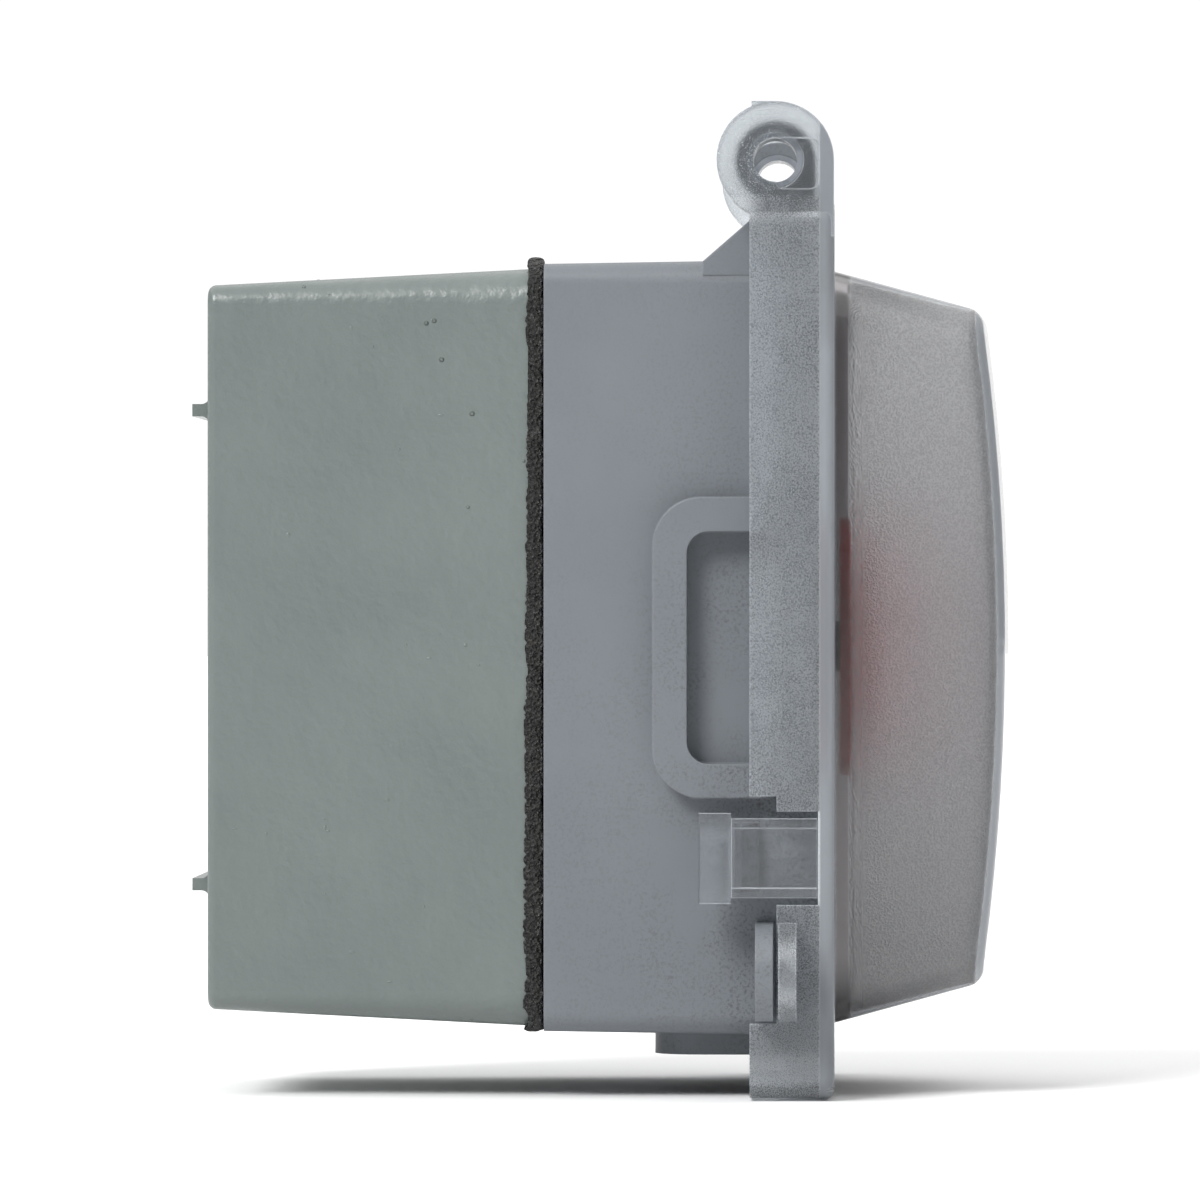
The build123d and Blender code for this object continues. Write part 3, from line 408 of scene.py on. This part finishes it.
foam_low, foam_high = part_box("box_gasket")
foam_size = foam_high - foam_low
gasket = grown("sponge_gasket", bpy.data.meshes.new("sponge_start"), sponge_tree(sponge_black), {
    "Ring width": foam_size.x - SPONGE_WIDTH + 2 * SPONGE_PROUD,
    "Ring height": foam_size.z - SPONGE_WIDTH + 2 * SPONGE_PROUD,
    "Ring corner": 0.0012, "Strip width": SPONGE_WIDTH, "Strip thickness": foam_size.y + 0.00005,
    "Spacing": 0.00027, "Cell depth": 0.00030, "Waver": 0.0012})
laid_along_depth(gasket, (foam_low + foam_high) / 2)
seat_front, seat_back = foam_low.y, foam_high.y
for vert in gasket.data.vertices:
    spot = vert.co
    near_join = math.exp(-((spot.x - JOIN_X) ** 2 + (spot.z - foam_high.z) ** 2) / JOIN_REACH ** 2)
    spot.z += JOIN_RISE * near_join
    front_stop = seat_front - JOIN_SPILL_FRONT * near_join
    back_stop = seat_back + JOIN_SPILL_BACK * near_join
    spot.y = min(max(spot.y, front_stop), back_stop)
    past_box = max(abs(spot.x) - box_high.x, abs(spot.z) - box_high.z)
    if past_box > 0:
        ripple = 0.5 + 0.5 * math.sin(spot.z * 310 + 2.0 * math.sin(spot.z * 97))
        lower = min(max(0.5 - spot.z / 0.11, 0.0), 1.0)
        creep = CREEP_LEAST + CREEP_RIPPLE * ripple + CREEP_LOW_DOWN * lower
        creep *= min(past_box / SPONGE_PROUD, 1.0)
        spot.y += creep * max((spot.y - seat_front) / (seat_back - seat_front), 0.0)
gasket.data.update()
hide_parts("box_gasket")
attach(gasket, "housing")


# ---- Cover base
# Injection-moulded blue-grey plastic with a satin skin from the tool. It has picked up dust,
# fingerprints and hairline scuffs, most of them where the lid and latch rub.

def soft_edges(tree, radius):
    """Rounds every corner a little for the light, and finds where the corners are, for a painted
    highlight.
    """
    rounded = tree.nodes.new("ShaderNodeBevel")
    rounded.samples = 4
    rounded.inputs["Radius"].default_value = radius
    flat = tree.nodes.new("ShaderNodeNewGeometry")
    match = tree.nodes.new("ShaderNodeVectorMath")
    match.operation = "DOT_PRODUCT"
    tree.links.new(rounded.outputs["Normal"], match.inputs[0])
    tree.links.new(flat.outputs["True Normal"], match.inputs[1])
    return rounded.outputs["Normal"], spread(tree, match.outputs["Value"], 0.99, 0.90, 0.0, 1.0)


base_skin, tree, shader, place = finish("base_skin")
cloud = noise(tree, place, 24, 4, 0.55)
colour = tint(tree, spread(tree, cloud, 0.32, 0.68), (0.135, 0.150, 0.167), (0.152, 0.167, 0.184))
split = tree.nodes.new("ShaderNodeSeparateXYZ")
tree.links.new(place, split.inputs[0])
to_front = spread(tree, split.outputs["Y"], -0.060, -0.086, 0.25, 1.0, smooth=True)
low_down = spread(tree, split.outputs["Z"], 0.045, -0.030, 0.35, 1.0, smooth=True)
handled = reckon(tree, "MULTIPLY", to_front, low_down)
dust = noise(tree, place, 1900, 5, 0.78)
dirt_spot = noise(tree, place, 75, 4, 0.65)
dirty_areas = spread(tree, dirt_spot, 0.36, 0.56)
dust_mask = reckon(tree, "MULTIPLY", spread(tree, dust, 0.50, 0.60), dirty_areas)
dust_mask = reckon(tree, "MULTIPLY", dust_mask, handled)
colour = tint(tree, reckon(tree, "MULTIPLY", dust_mask, 0.85), colour, (0.060, 0.060, 0.062))
hair = noise(tree, place, 330, 2, 0.4, stretch=(1.0, 0.10, 1.0))
off_middle = reckon(tree, "ABSOLUTE", reckon(tree, "SUBTRACT", hair, 0.5), 0.0)
hairline = spread(tree, off_middle, 0.0, 0.0028, 1.0, 0.0)
hairline = reckon(tree, "MULTIPLY", hairline, spread(tree, noise(tree, place, 48, 2), 0.62, 0.68))
colour = tint(tree, reckon(tree, "MULTIPLY", hairline, 0.22), colour, (0.26, 0.28, 0.30))
edge_normal, painted_edge_highlight = soft_edges(tree, 0.0004)
# Painted highlight: the rounded corners are painted paler.
colour = tint(tree, reckon(tree, "MULTIPLY", painted_edge_highlight, 0.30), colour, (0.30, 0.32, 0.345))
tree.links.new(colour, shader.inputs["Base Color"])
grease = noise(tree, place, 70, 4, 0.6)
tree.links.new(spread(tree, grease, 0.3, 0.7, 0.34, 0.50), shader.inputs["Roughness"])
skin = reckon(tree, "ADD", noise(tree, place, 2400, 2, 0.6), reckon(tree, "MULTIPLY", hairline, -1.2))
relief(tree, shader, skin, 0.000022, 0.8, under=edge_normal)
coat("cover_base", base_skin)


# ---- Hinge pins
# Two hollow pins of the base's own plastic, pressed into its ears and polished by the lid.

pin_skin, tree, shader, place = finish("pin_skin")
rub = noise(tree, place, 600, 3, 0.6, stretch=(0.1, 1.0, 1.0))
tree.links.new(tint(tree, spread(tree, rub, 0.35, 0.65), (0.17, 0.187, 0.212), (0.212, 0.228, 0.254)),
               shader.inputs["Base Color"])
tree.links.new(spread(tree, rub, 0.3, 0.7, 0.24, 0.42), shader.inputs["Roughness"])
relief(tree, shader, rub, 0.00003, 0.6)
coat("hinge_pins", pin_skin)


# ---- Screws
# Zinc-plated steel pan heads with cross recesses: two clamp the base to the box, four hold the
# panel, and two hold the wires. Plating is bright, with dull patches here and there.

zinc_plate, tree, shader, place = finish("zinc_plate")
bloom = noise(tree, place, 900, 4, 0.6)
colour = tint(tree, spread(tree, bloom, 0.35, 0.7), (0.50, 0.51, 0.52), (0.64, 0.64, 0.62))
dull = spread(tree, noise(tree, place, 2600, 3), 0.64, 0.72, 0, 0.6)
colour = tint(tree, dull, colour, (0.30, 0.29, 0.27))
tree.links.new(colour, shader.inputs["Base Color"])
shader.inputs["Metallic"].default_value = 1.0
tree.links.new(spread(tree, bloom, 0.3, 0.7, 0.24, 0.42), shader.inputs["Roughness"])
relief(tree, shader, noise(tree, place, 3200, 3, 0.6), 0.00002, 0.6)
for name in ("base_screws", "panel_screws", "terminal_screws", "anti_twist_washer"):
    coat(name, zinc_plate)


# ---- Panel and its seal
# A flat black plate with a fine sand-blasted face, on a thin closed-cell seal.

panel_black, tree, shader, place = finish("panel_black")
blast = noise(tree, place, 2900, 3, 0.6)
cloud = noise(tree, place, 45, 4, 0.6)
colour = tint(tree, spread(tree, cloud, 0.35, 0.7), (0.012, 0.012, 0.013), (0.022, 0.022, 0.023))
dust = spread(tree, noise(tree, place, 1700, 4, 0.7), 0.68, 0.74, 0, 0.4)
colour = tint(tree, dust, colour, (0.12, 0.12, 0.12))
tree.links.new(colour, shader.inputs["Base Color"])
tree.links.new(spread(tree, cloud, 0.3, 0.7, 0.42, 0.58), shader.inputs["Roughness"])
relief(tree, shader, blast, 0.00005, 0.7)
coat("front_panel", panel_black)

seal_foam, tree, shader, place = finish("seal_foam")
pore = cells(tree, place, 2600)
tree.links.new(tint(tree, spread(tree, pore, 0.1, 0.6), (0.008, 0.008, 0.008), (0.035, 0.034, 0.032)),
               shader.inputs["Base Color"])
tree.links.new(spread(tree, pore, 0.1, 0.6, 0.95, 0.78), shader.inputs["Roughness"])
relief(tree, shader, pore, 0.00012, 0.7)
coat("panel_seal", seal_foam)


# ---- Push button body
# A black nylon barrel with a turned collar, on a rubber washer, held from behind by a washer and
# a die-cast hexagon nut. The collar shows faint turning rings.

collar_black, tree, shader, place = finish("collar_black")
turned = tree.nodes.new("ShaderNodeTexWave")
turned.wave_type = "RINGS"
turned.rings_direction = "Y"
turned.inputs["Scale"].default_value = 420.0
turned.inputs["Distortion"].default_value = 0.4
tree.links.new(place, turned.inputs["Vector"])
cloud = noise(tree, place, 240, 3, 0.6)
tree.links.new(tint(tree, spread(tree, cloud, 0.35, 0.7), (0.013, 0.013, 0.014), (0.028, 0.028, 0.030)),
               shader.inputs["Base Color"])
tree.links.new(spread(tree, cloud, 0.3, 0.7, 0.26, 0.40), shader.inputs["Roughness"])
relief(tree, shader, reckon(tree, "ADD", turned.outputs["Fac"], cloud), 0.00002, 0.5)
for name in ("button_barrel", "button_stem"):
    coat(name, collar_black)

washer_rubber, tree, shader, place = finish("washer_rubber")
grain = noise(tree, place, 1400, 4, 0.6)
tree.links.new(tint(tree, spread(tree, grain, 0.35, 0.7), (0.010, 0.010, 0.010), (0.026, 0.025, 0.024)),
               shader.inputs["Base Color"])
tree.links.new(spread(tree, grain, 0.3, 0.7, 0.62, 0.82), shader.inputs["Roughness"])
relief(tree, shader, grain, 0.00004, 0.7)
coat("button_seal", washer_rubber)

cast_zinc, tree, shader, place = finish("cast_zinc")
flow = noise(tree, place, 420, 5, 0.65)
tree.links.new(tint(tree, spread(tree, flow, 0.3, 0.7), (0.36, 0.36, 0.37), (0.56, 0.56, 0.57)),
               shader.inputs["Base Color"])
shader.inputs["Metallic"].default_value = 0.95
tree.links.new(spread(tree, flow, 0.3, 0.7, 0.38, 0.58), shader.inputs["Roughness"])
relief(tree, shader, noise(tree, place, 1300, 4), 0.00004, 0.7)
coat("lock_nut", cast_zinc)


# ---- Button head
# A moulded red mushroom cap, glossy, with light finger wear on
# the crown.

cap_red, tree, shader, place = finish("cap_red")
cloud = noise(tree, place, 130, 4, 0.6)
colour = tint(tree, spread(tree, cloud, 0.35, 0.7), (0.80, 0.006, 0.008), (0.90, 0.014, 0.012))
rubbed = spread(tree, noise(tree, place, 2300, 4, 0.7), 0.70, 0.76, 0, 0.35)
colour = tint(tree, rubbed, colour, (0.75, 0.30, 0.26))
tree.links.new(colour, shader.inputs["Base Color"])
worn = noise(tree, place, 320, 5, 0.65)
tree.links.new(spread(tree, worn, 0.3, 0.7, 0.20, 0.34), shader.inputs["Roughness"])
shader.inputs["Subsurface Weight"].default_value = 0.08
shader.inputs["Subsurface Radius"].default_value = (0.004, 0.0008, 0.0006)
shader.inputs["Subsurface Scale"].default_value = 0.3
relief(tree, shader, reckon(tree, "ADD", worn, noise(tree, place, 1900, 2)), 0.000018, 0.6)
coat("button_head", cap_red)


# ---- Springs
# Two coiled steel wires: one lifts the button, the other follows the contact carrier. The turn at
# each end is closed to sit flat, and drawing the wire has left faint lines along it.

TURNS = 6.0
BUTTON_WIRE = 0.0008
CONTACT_WIRE = 0.0005

spring_wire, tree, shader, place = finish("spring_wire")
drawn = noise(tree, place, 1600, 4, 0.6)
colour = tint(tree, spread(tree, drawn, 0.35, 0.7), (0.42, 0.43, 0.44), (0.60, 0.60, 0.60))
oiled = noise(tree, place, 380, 4, 0.6)
colour = tint(tree, spread(tree, oiled, 0.55, 0.72, 0, 0.5), colour, (0.22, 0.20, 0.17))
tree.links.new(colour, shader.inputs["Base Color"])
shader.inputs["Metallic"].default_value = 1.0
tree.links.new(spread(tree, oiled, 0.3, 0.7, 0.30, 0.20), shader.inputs["Roughness"])
relief(tree, shader, drawn, 0.00002, 0.6)


def coil_tree(steel):
    """A wire wound along Z, a wire's thickness a turn at both ends and opened out between them."""
    sizes = ("Coil radius", "Wire radius", "Turns", "Closed height", "Opening", "End share")
    group, start, end, join = plan("coiled_wire", "Start", sizes, "Coil")
    wound = group.nodes.new("GeometryNodeCurveSpiral")
    wound.inputs["Resolution"].default_value = 36
    join(start.outputs["Turns"], wound.inputs["Rotations"])
    join(start.outputs["Coil radius"], wound.inputs["Start Radius"])
    join(start.outputs["Coil radius"], wound.inputs["End Radius"])
    join(start.outputs["Closed height"], wound.inputs["Height"])
    rise = group.nodes.new("ShaderNodeMapRange")
    join(group.nodes.new("GeometryNodeSplineParameter").outputs["Factor"], rise.inputs["Value"])
    join(start.outputs["End share"], rise.inputs["From Min"])
    join(reckon(group, "SUBTRACT", 1.0, start.outputs["End share"]), rise.inputs["From Max"])
    join(start.outputs["Opening"], rise.inputs["To Max"])
    along = group.nodes.new("ShaderNodeCombineXYZ")
    join(rise.outputs["Result"], along.inputs["Z"])
    opened = group.nodes.new("GeometryNodeSetPosition")
    join(wound.outputs["Curve"], opened.inputs["Geometry"])
    join(along.outputs["Vector"], opened.inputs["Offset"])
    section = group.nodes.new("GeometryNodeCurvePrimitiveCircle")
    section.inputs["Resolution"].default_value = 14
    join(start.outputs["Wire radius"], section.inputs["Radius"])
    sweep = group.nodes.new("GeometryNodeCurveToMesh")
    sweep.inputs["Fill Caps"].default_value = True
    join(opened.outputs["Geometry"], sweep.inputs["Curve"])
    join(section.outputs["Curve"], sweep.inputs["Profile Curve"])
    hand_out(group, sweep.outputs["Mesh"], steel, end)
    return group


winding = coil_tree(spring_wire)
for node, name, wire in (("button_spring", "return_coil", BUTTON_WIRE),
                         ("contact_spring", "carrier_coil", CONTACT_WIRE)):
    low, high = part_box(node)
    length = high.y - low.y
    closed = wire * TURNS
    coil = grown(name, bpy.data.meshes.new(name + "_path"), winding, {
        "Coil radius": (high.x - low.x - wire) / 2, "Wire radius": wire / 2, "Turns": TURNS,
        "Closed height": closed, "Opening": length - wire - closed, "End share": 1 / TURNS})
    laid_along_depth(coil, (0, high.y - wire / 2, 0))
    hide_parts(node)
    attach(coil, "housing")
    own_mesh(coil)


# ---- Contact block
# A dark grey nylon case with its snap-in back, a green carrier, and brass strips and bridge
# that have gone slightly brown.

case_grey, tree, shader, place = finish("case_grey")
grain = noise(tree, place, 1800, 3, 0.6)
cloud = noise(tree, place, 90, 4, 0.6)
tree.links.new(tint(tree, spread(tree, cloud, 0.35, 0.7), (0.075, 0.076, 0.082), (0.110, 0.111, 0.118)),
               shader.inputs["Base Color"])
tree.links.new(spread(tree, cloud, 0.3, 0.7, 0.40, 0.56), shader.inputs["Roughness"])
relief(tree, shader, grain, 0.00004, 0.7)
for name in ("contact_case", "contact_cover"):
    coat(name, case_grey)

carrier_green, tree, shader, place = finish("carrier_green")
cloud = noise(tree, place, 300, 4, 0.6)
tree.links.new(tint(tree, spread(tree, cloud, 0.35, 0.7), (0.055, 0.23, 0.09), (0.085, 0.30, 0.125)),
               shader.inputs["Base Color"])
tree.links.new(spread(tree, cloud, 0.3, 0.7, 0.36, 0.52), shader.inputs["Roughness"])
relief(tree, shader, noise(tree, place, 1900, 3), 0.00003, 0.6)
coat("contact_carrier", carrier_green)

rolled_brass, tree, shader, place = finish("rolled_brass")
rolled = noise(tree, place, 1500, 4, 0.6, stretch=(1.0, 1.0, 0.06))
brown = noise(tree, place, 260, 5, 0.65)
colour = tint(tree, spread(tree, rolled, 0.3, 0.7), (0.62, 0.42, 0.15), (0.76, 0.55, 0.24))
colour = tint(tree, spread(tree, brown, 0.55, 0.75, 0, 0.6), colour, (0.34, 0.21, 0.09))
tree.links.new(colour, shader.inputs["Base Color"])
shader.inputs["Metallic"].default_value = 1.0
tree.links.new(spread(tree, brown, 0.3, 0.7, 0.26, 0.46), shader.inputs["Roughness"])
relief(tree, shader, rolled, 0.00002, 0.6)
for name in ("fixed_contacts", "moving_contact"):
    coat(name, rolled_brass)


# ---- Lid
# One clear polycarbonate moulding. The dome has a fine leather grain that frosts it, the skirt's
# sides are speckled by the tool, the dome's crown and ends are polished clear, and the flange's edge
# is a milky grey band. The frost is painted lighter toward the top as painted light, the dome's
# corners carry a painted reflection, the other edges a painted highlight, and the hinge lugs and
# the dome's root are darkened as painted shade.

FLANGE_FRONT = -0.0960
GRAIN_START = -0.0982
FLANGE_BACK = -0.0937
HINGE_FOOT = 0.0684
RIM_X = 0.0449
RIM_Z = 0.0671

lid_clear, tree, shader, place = finish("lid_clear")
split = tree.nodes.new("ShaderNodeSeparateXYZ")
tree.links.new(place, split.inputs[0])
depth = split.outputs["Y"]
out_x = reckon(tree, "ABSOLUTE", split.outputs["X"], 0.0)
out_z = reckon(tree, "ABSOLUTE", split.outputs["Z"], 0.0)
facing = tree.nodes.new("ShaderNodeSeparateXYZ")
tree.links.new(place.node.outputs["Normal"], facing.inputs[0])
face_x = reckon(tree, "ABSOLUTE", facing.outputs["X"], 0.0)
face_y = reckon(tree, "ABSOLUTE", facing.outputs["Y"], 0.0)
face_z = reckon(tree, "ABSOLUTE", facing.outputs["Z"], 0.0)
turning = spread(tree, face_x, 0.03, 0.15)
crown = spread(tree, face_y, 0.45, 0.72, smooth=True)
ends = reckon(tree, "MULTIPLY", spread(tree, face_z, 0.84, 0.93, smooth=True), turning)
grained = reckon(tree, "SUBTRACT", 1.0, reckon(tree, "MAXIMUM", crown, ends))
past_root = spread(tree, depth, GRAIN_START - 0.0006, GRAIN_START + 0.0002, 1.0, 0.0, smooth=True)
on_dome = reckon(tree, "MULTIPLY", past_root, grained)
corner = reckon(tree, "MULTIPLY", reckon(tree, "SUBTRACT", past_root, on_dome), turning)
above_flange = spread(tree, depth, FLANGE_FRONT - 0.0001, FLANGE_FRONT + 0.0001, 1.0, 0.0)
root_band_painted_shade = reckon(tree, "MULTIPLY", above_flange, reckon(tree, "SUBTRACT", 1.0, past_root))
behind_flange = spread(tree, depth, FLANGE_BACK - 0.0002, FLANGE_BACK + 0.0002, 0.0, 1.0, smooth=True)
at_hinge = spread(tree, split.outputs["Z"], HINGE_FOOT - 0.0004, HINGE_FOOT + 0.0004)
on_skirt = reckon(tree, "SUBTRACT", behind_flange, reckon(tree, "MULTIPLY", at_hinge, 0.35))
on_skirt = reckon(tree, "MAXIMUM", on_skirt, 0.0)
rim_x = spread(tree, out_x, RIM_X - 0.0003, RIM_X + 0.0003)
rim_z = spread(tree, out_z, RIM_Z - 0.0003, RIM_Z + 0.0003)
in_flange = reckon(tree, "SUBTRACT", 1.0, reckon(tree, "MAXIMUM", above_flange, behind_flange))
rim = reckon(tree, "MULTIPLY", reckon(tree, "MAXIMUM", rim_x, rim_z), in_flange)

mottle = noise(tree, place, 4600, 3, 0.70)
patch = noise(tree, place, 190, 3, 0.6)
speckle = reckon(tree, "MULTIPLY", spread(tree, mottle, 0.42, 0.64), on_skirt)
speckle = reckon(tree, "MULTIPLY", speckle, spread(tree, patch, 0.35, 0.62, 0.62, 1.0))
leather = noise(tree, place, 2900, 2, 0.55)
# Painted shade: the hinge lugs are tinted darker than the rest of the lid.
colour = tint(tree, at_hinge, (0.80, 0.835, 0.87), (0.64, 0.68, 0.71))
# Painted light: the dome's frost is painted lighter toward its top, as light from above.
painted_light_from_above = spread(tree, split.outputs["Z"], 0.005, 0.055)
frost_with_painted_top_light = tint(tree, painted_light_from_above, (0.66, 0.655, 0.665), (0.94, 0.94, 0.95))
colour = tint(tree, on_dome, colour, frost_with_painted_top_light)
grain_dark = reckon(tree, "MULTIPLY", on_dome, spread(tree, leather, 0.40, 0.60, 0.0, 0.50))
colour = tint(tree, grain_dark, colour, (0.30, 0.30, 0.31))
# Painted reflection: the dome's rounded corners are painted a milky grey-blue band.
colour = tint(tree, corner, colour, (0.27, 0.29, 0.315))
colour = tint(tree, speckle, colour, (0.66, 0.70, 0.74))
# Painted shade: a dark band round the dome's root, for the shade inside seen through it.
colour = tint(tree, root_band_painted_shade, colour, (0.26, 0.25, 0.255))
colour = tint(tree, rim, colour, (0.262, 0.285, 0.312))
edge_normal, painted_edge_highlight = soft_edges(tree, 0.00030)
painted_edge_highlight = reckon(tree, "MULTIPLY", painted_edge_highlight, reckon(tree, "SUBTRACT", 1.0, on_dome))
# Painted highlight: the lid's edges off the dome are painted pale and made milky.
colour = tint(tree, reckon(tree, "MULTIPLY", painted_edge_highlight, 0.8), colour, (0.66, 0.70, 0.75))
tree.links.new(colour, shader.inputs["Base Color"])
near_root = spread(tree, depth, GRAIN_START, GRAIN_START - 0.011, 0.17, 0.46)
rough = reckon(tree, "ADD", reckon(tree, "MULTIPLY", on_dome, near_root), 0.05)
for area, share in ((speckle, 0.22), (on_skirt, 0.16), (root_band_painted_shade, 0.05), (rim, 0.30)):
    rough = reckon(tree, "ADD", rough, reckon(tree, "MULTIPLY", area, share))
tree.links.new(rough, shader.inputs["Roughness"])
shader.inputs["IOR"].default_value = 1.58
milky_and_painted_highlight = reckon(tree, "MULTIPLY", on_dome, 0.05)
for area, share in ((speckle, 0.22), (rim, 0.55), (painted_edge_highlight, 0.45), (corner, 0.80)):
    milky_and_painted_highlight = reckon(tree, "ADD", milky_and_painted_highlight, reckon(tree, "MULTIPLY", area, share))
tree.links.new(reckon(tree, "SUBTRACT", 1.0, milky_and_painted_highlight), shader.inputs["Transmission Weight"])
on_skirt_only = reckon(tree, "MULTIPLY", reckon(tree, "MULTIPLY", mottle, on_skirt), 0.35)
grainy = reckon(tree, "ADD", reckon(tree, "MULTIPLY", leather, on_dome), on_skirt_only)
relief(tree, shader, grainy, 0.00020, 1.0, under=edge_normal)
coat("lid_shell", lid_clear)


# ---- Latch tongue
# The clear tongue in the skirt's side window. It is clear right through, and its ribs, finger lip
# and hook have a painted highlight along their edges, paler and milky.

tongue_clear, tree, shader, place = finish("tongue_clear")
flow = noise(tree, place, 420, 4, 0.6)
edge_normal, painted_edge_highlight = soft_edges(tree, 0.00030)
colour = tint(tree, spread(tree, flow, 0.3, 0.7), (0.74, 0.78, 0.82), (0.83, 0.86, 0.89))
# Painted highlight: the edges are painted pale and made milky.
tree.links.new(tint(tree, painted_edge_highlight, colour, (0.74, 0.78, 0.83)), shader.inputs["Base Color"])
tree.links.new(spread(tree, painted_edge_highlight, 0.0, 1.0, 1.0, 0.5), shader.inputs["Transmission Weight"])
tree.links.new(spread(tree, flow, 0.35, 0.7, 0.04, 0.16), shader.inputs["Roughness"])
shader.inputs["IOR"].default_value = 1.58
relief(tree, shader, flow, 0.00006, 0.5, under=edge_normal)
coat("latch_tongue", tongue_clear)


# ---- Floor
# A plain sheet of white paper under the station, wide enough to run out of sight.

FLOOR_SIZE = 12.0
FLOOR_GAP = 0.0004

paper, tree, shader, place = finish("paper")
fibre = noise(tree, place, 900, 4, 0.6)
tree.links.new(tint(tree, spread(tree, fibre, 0.3, 0.7), (0.93, 0.93, 0.93), (0.95, 0.95, 0.95)),
               shader.inputs["Base Color"])
shader.inputs["Roughness"].default_value = 0.9
shader.inputs["Specular IOR Level"].default_value = 0.1
sheet = bmesh.new()
bmesh.ops.create_grid(sheet, x_segments=2, y_segments=2, size=FLOOR_SIZE)
bmesh.ops.translate(sheet, verts=sheet.verts, vec=(0, 0, cad_low.z - FLOOR_GAP))
floor_mesh = bpy.data.meshes.new("floor")
sheet.to_mesh(floor_mesh)
sheet.free()
floor_mesh.materials.append(paper)
floor = bpy.data.objects.new("floor", floor_mesh)
bpy.context.scene.collection.objects.link(floor)
floor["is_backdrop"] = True


# ---- Light
# One broad light high on the left of the station, over a white room that is darker on its left side.

def lamp(name, kind, towards_light, strength, spread_degrees):
    data = bpy.data.lights.new(name, kind)
    data.energy = strength
    data.angle = math.radians(spread_degrees)
    made = bpy.data.objects.new(name, data)
    made.rotation_mode = "QUATERNION"
    made.rotation_quaternion = Vector(towards_light).to_track_quat("Z", "Y")
    made.location = Vector(towards_light).normalized() * 2.0
    bpy.context.scene.collection.objects.link(made)
    return made


lamp("key", "SUN", (-0.66, 0.42, 0.62), 2.7, 24)
lamp("overhead", "SUN", (0.10, 0.0, 1.0), 1.5, 100)

room = bpy.data.worlds.new("room")
room.use_nodes = True
bpy.context.scene.world = room
tree = room.node_tree
backdrop = tree.nodes["Background"]
backdrop.inputs["Color"].default_value = (1.0, 1.0, 1.0, 1.0)
around = tree.nodes.new("ShaderNodeTexCoord")
way = tree.nodes.new("ShaderNodeSeparateXYZ")
tree.links.new(around.outputs["Generated"], way.inputs[0])
from_side = spread(tree, way.outputs["X"], -1.0, 0.9, 0.10, 0.46)
from_above = spread(tree, way.outputs["Z"], 0.0, 1.0, 0.0, 0.40)
behind = spread(tree, way.outputs["X"], 0.82, 0.99, 0.0, 0.50, smooth=True)
sky = reckon(tree, "ADD", reckon(tree, "ADD", from_side, from_above), behind)
tree.links.new(sky, backdrop.inputs["Strength"])
bright = tree.nodes.new("ShaderNodeBackground")
bright.inputs["Color"].default_value = (1.0, 1.0, 1.0, 1.0)
bright.inputs["Strength"].default_value = 1.05
ray = tree.nodes.new("ShaderNodeLightPath")
choose = tree.nodes.new("ShaderNodeMixShader")
tree.links.new(ray.outputs["Is Camera Ray"], choose.inputs["Fac"])
tree.links.new(backdrop.outputs["Background"], choose.inputs[1])
tree.links.new(bright.outputs["Background"], choose.inputs[2])
tree.links.new(choose.outputs["Shader"], tree.nodes["World Output"].inputs["Surface"])


# ---- Camera
# Square on to the station's left side, from far enough away to keep it nearly flat.

DISTANCE = 1.53
TURN = math.radians(1.3)
AIM = Vector((-0.0357, -0.0602, 0.00725))
FOCAL_LENGTH_MM = 300.7
SENSOR_MM = 36.0

lens = bpy.data.cameras.new("camera")
lens.lens = FOCAL_LENGTH_MM
lens.sensor_width = SENSOR_MM
lens.clip_start = 0.01
lens.clip_end = 60.0
camera = bpy.data.objects.new("camera", lens)
camera.location = AIM - DISTANCE * Vector((math.cos(TURN), math.sin(TURN), 0.0))
camera.rotation_euler = (math.radians(90), 0.0, math.radians(-90) + TURN)
bpy.context.scene.collection.objects.link(camera)
bpy.context.scene.camera = camera
bpy.context.scene.view_settings.view_transform = "Standard"

low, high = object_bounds()
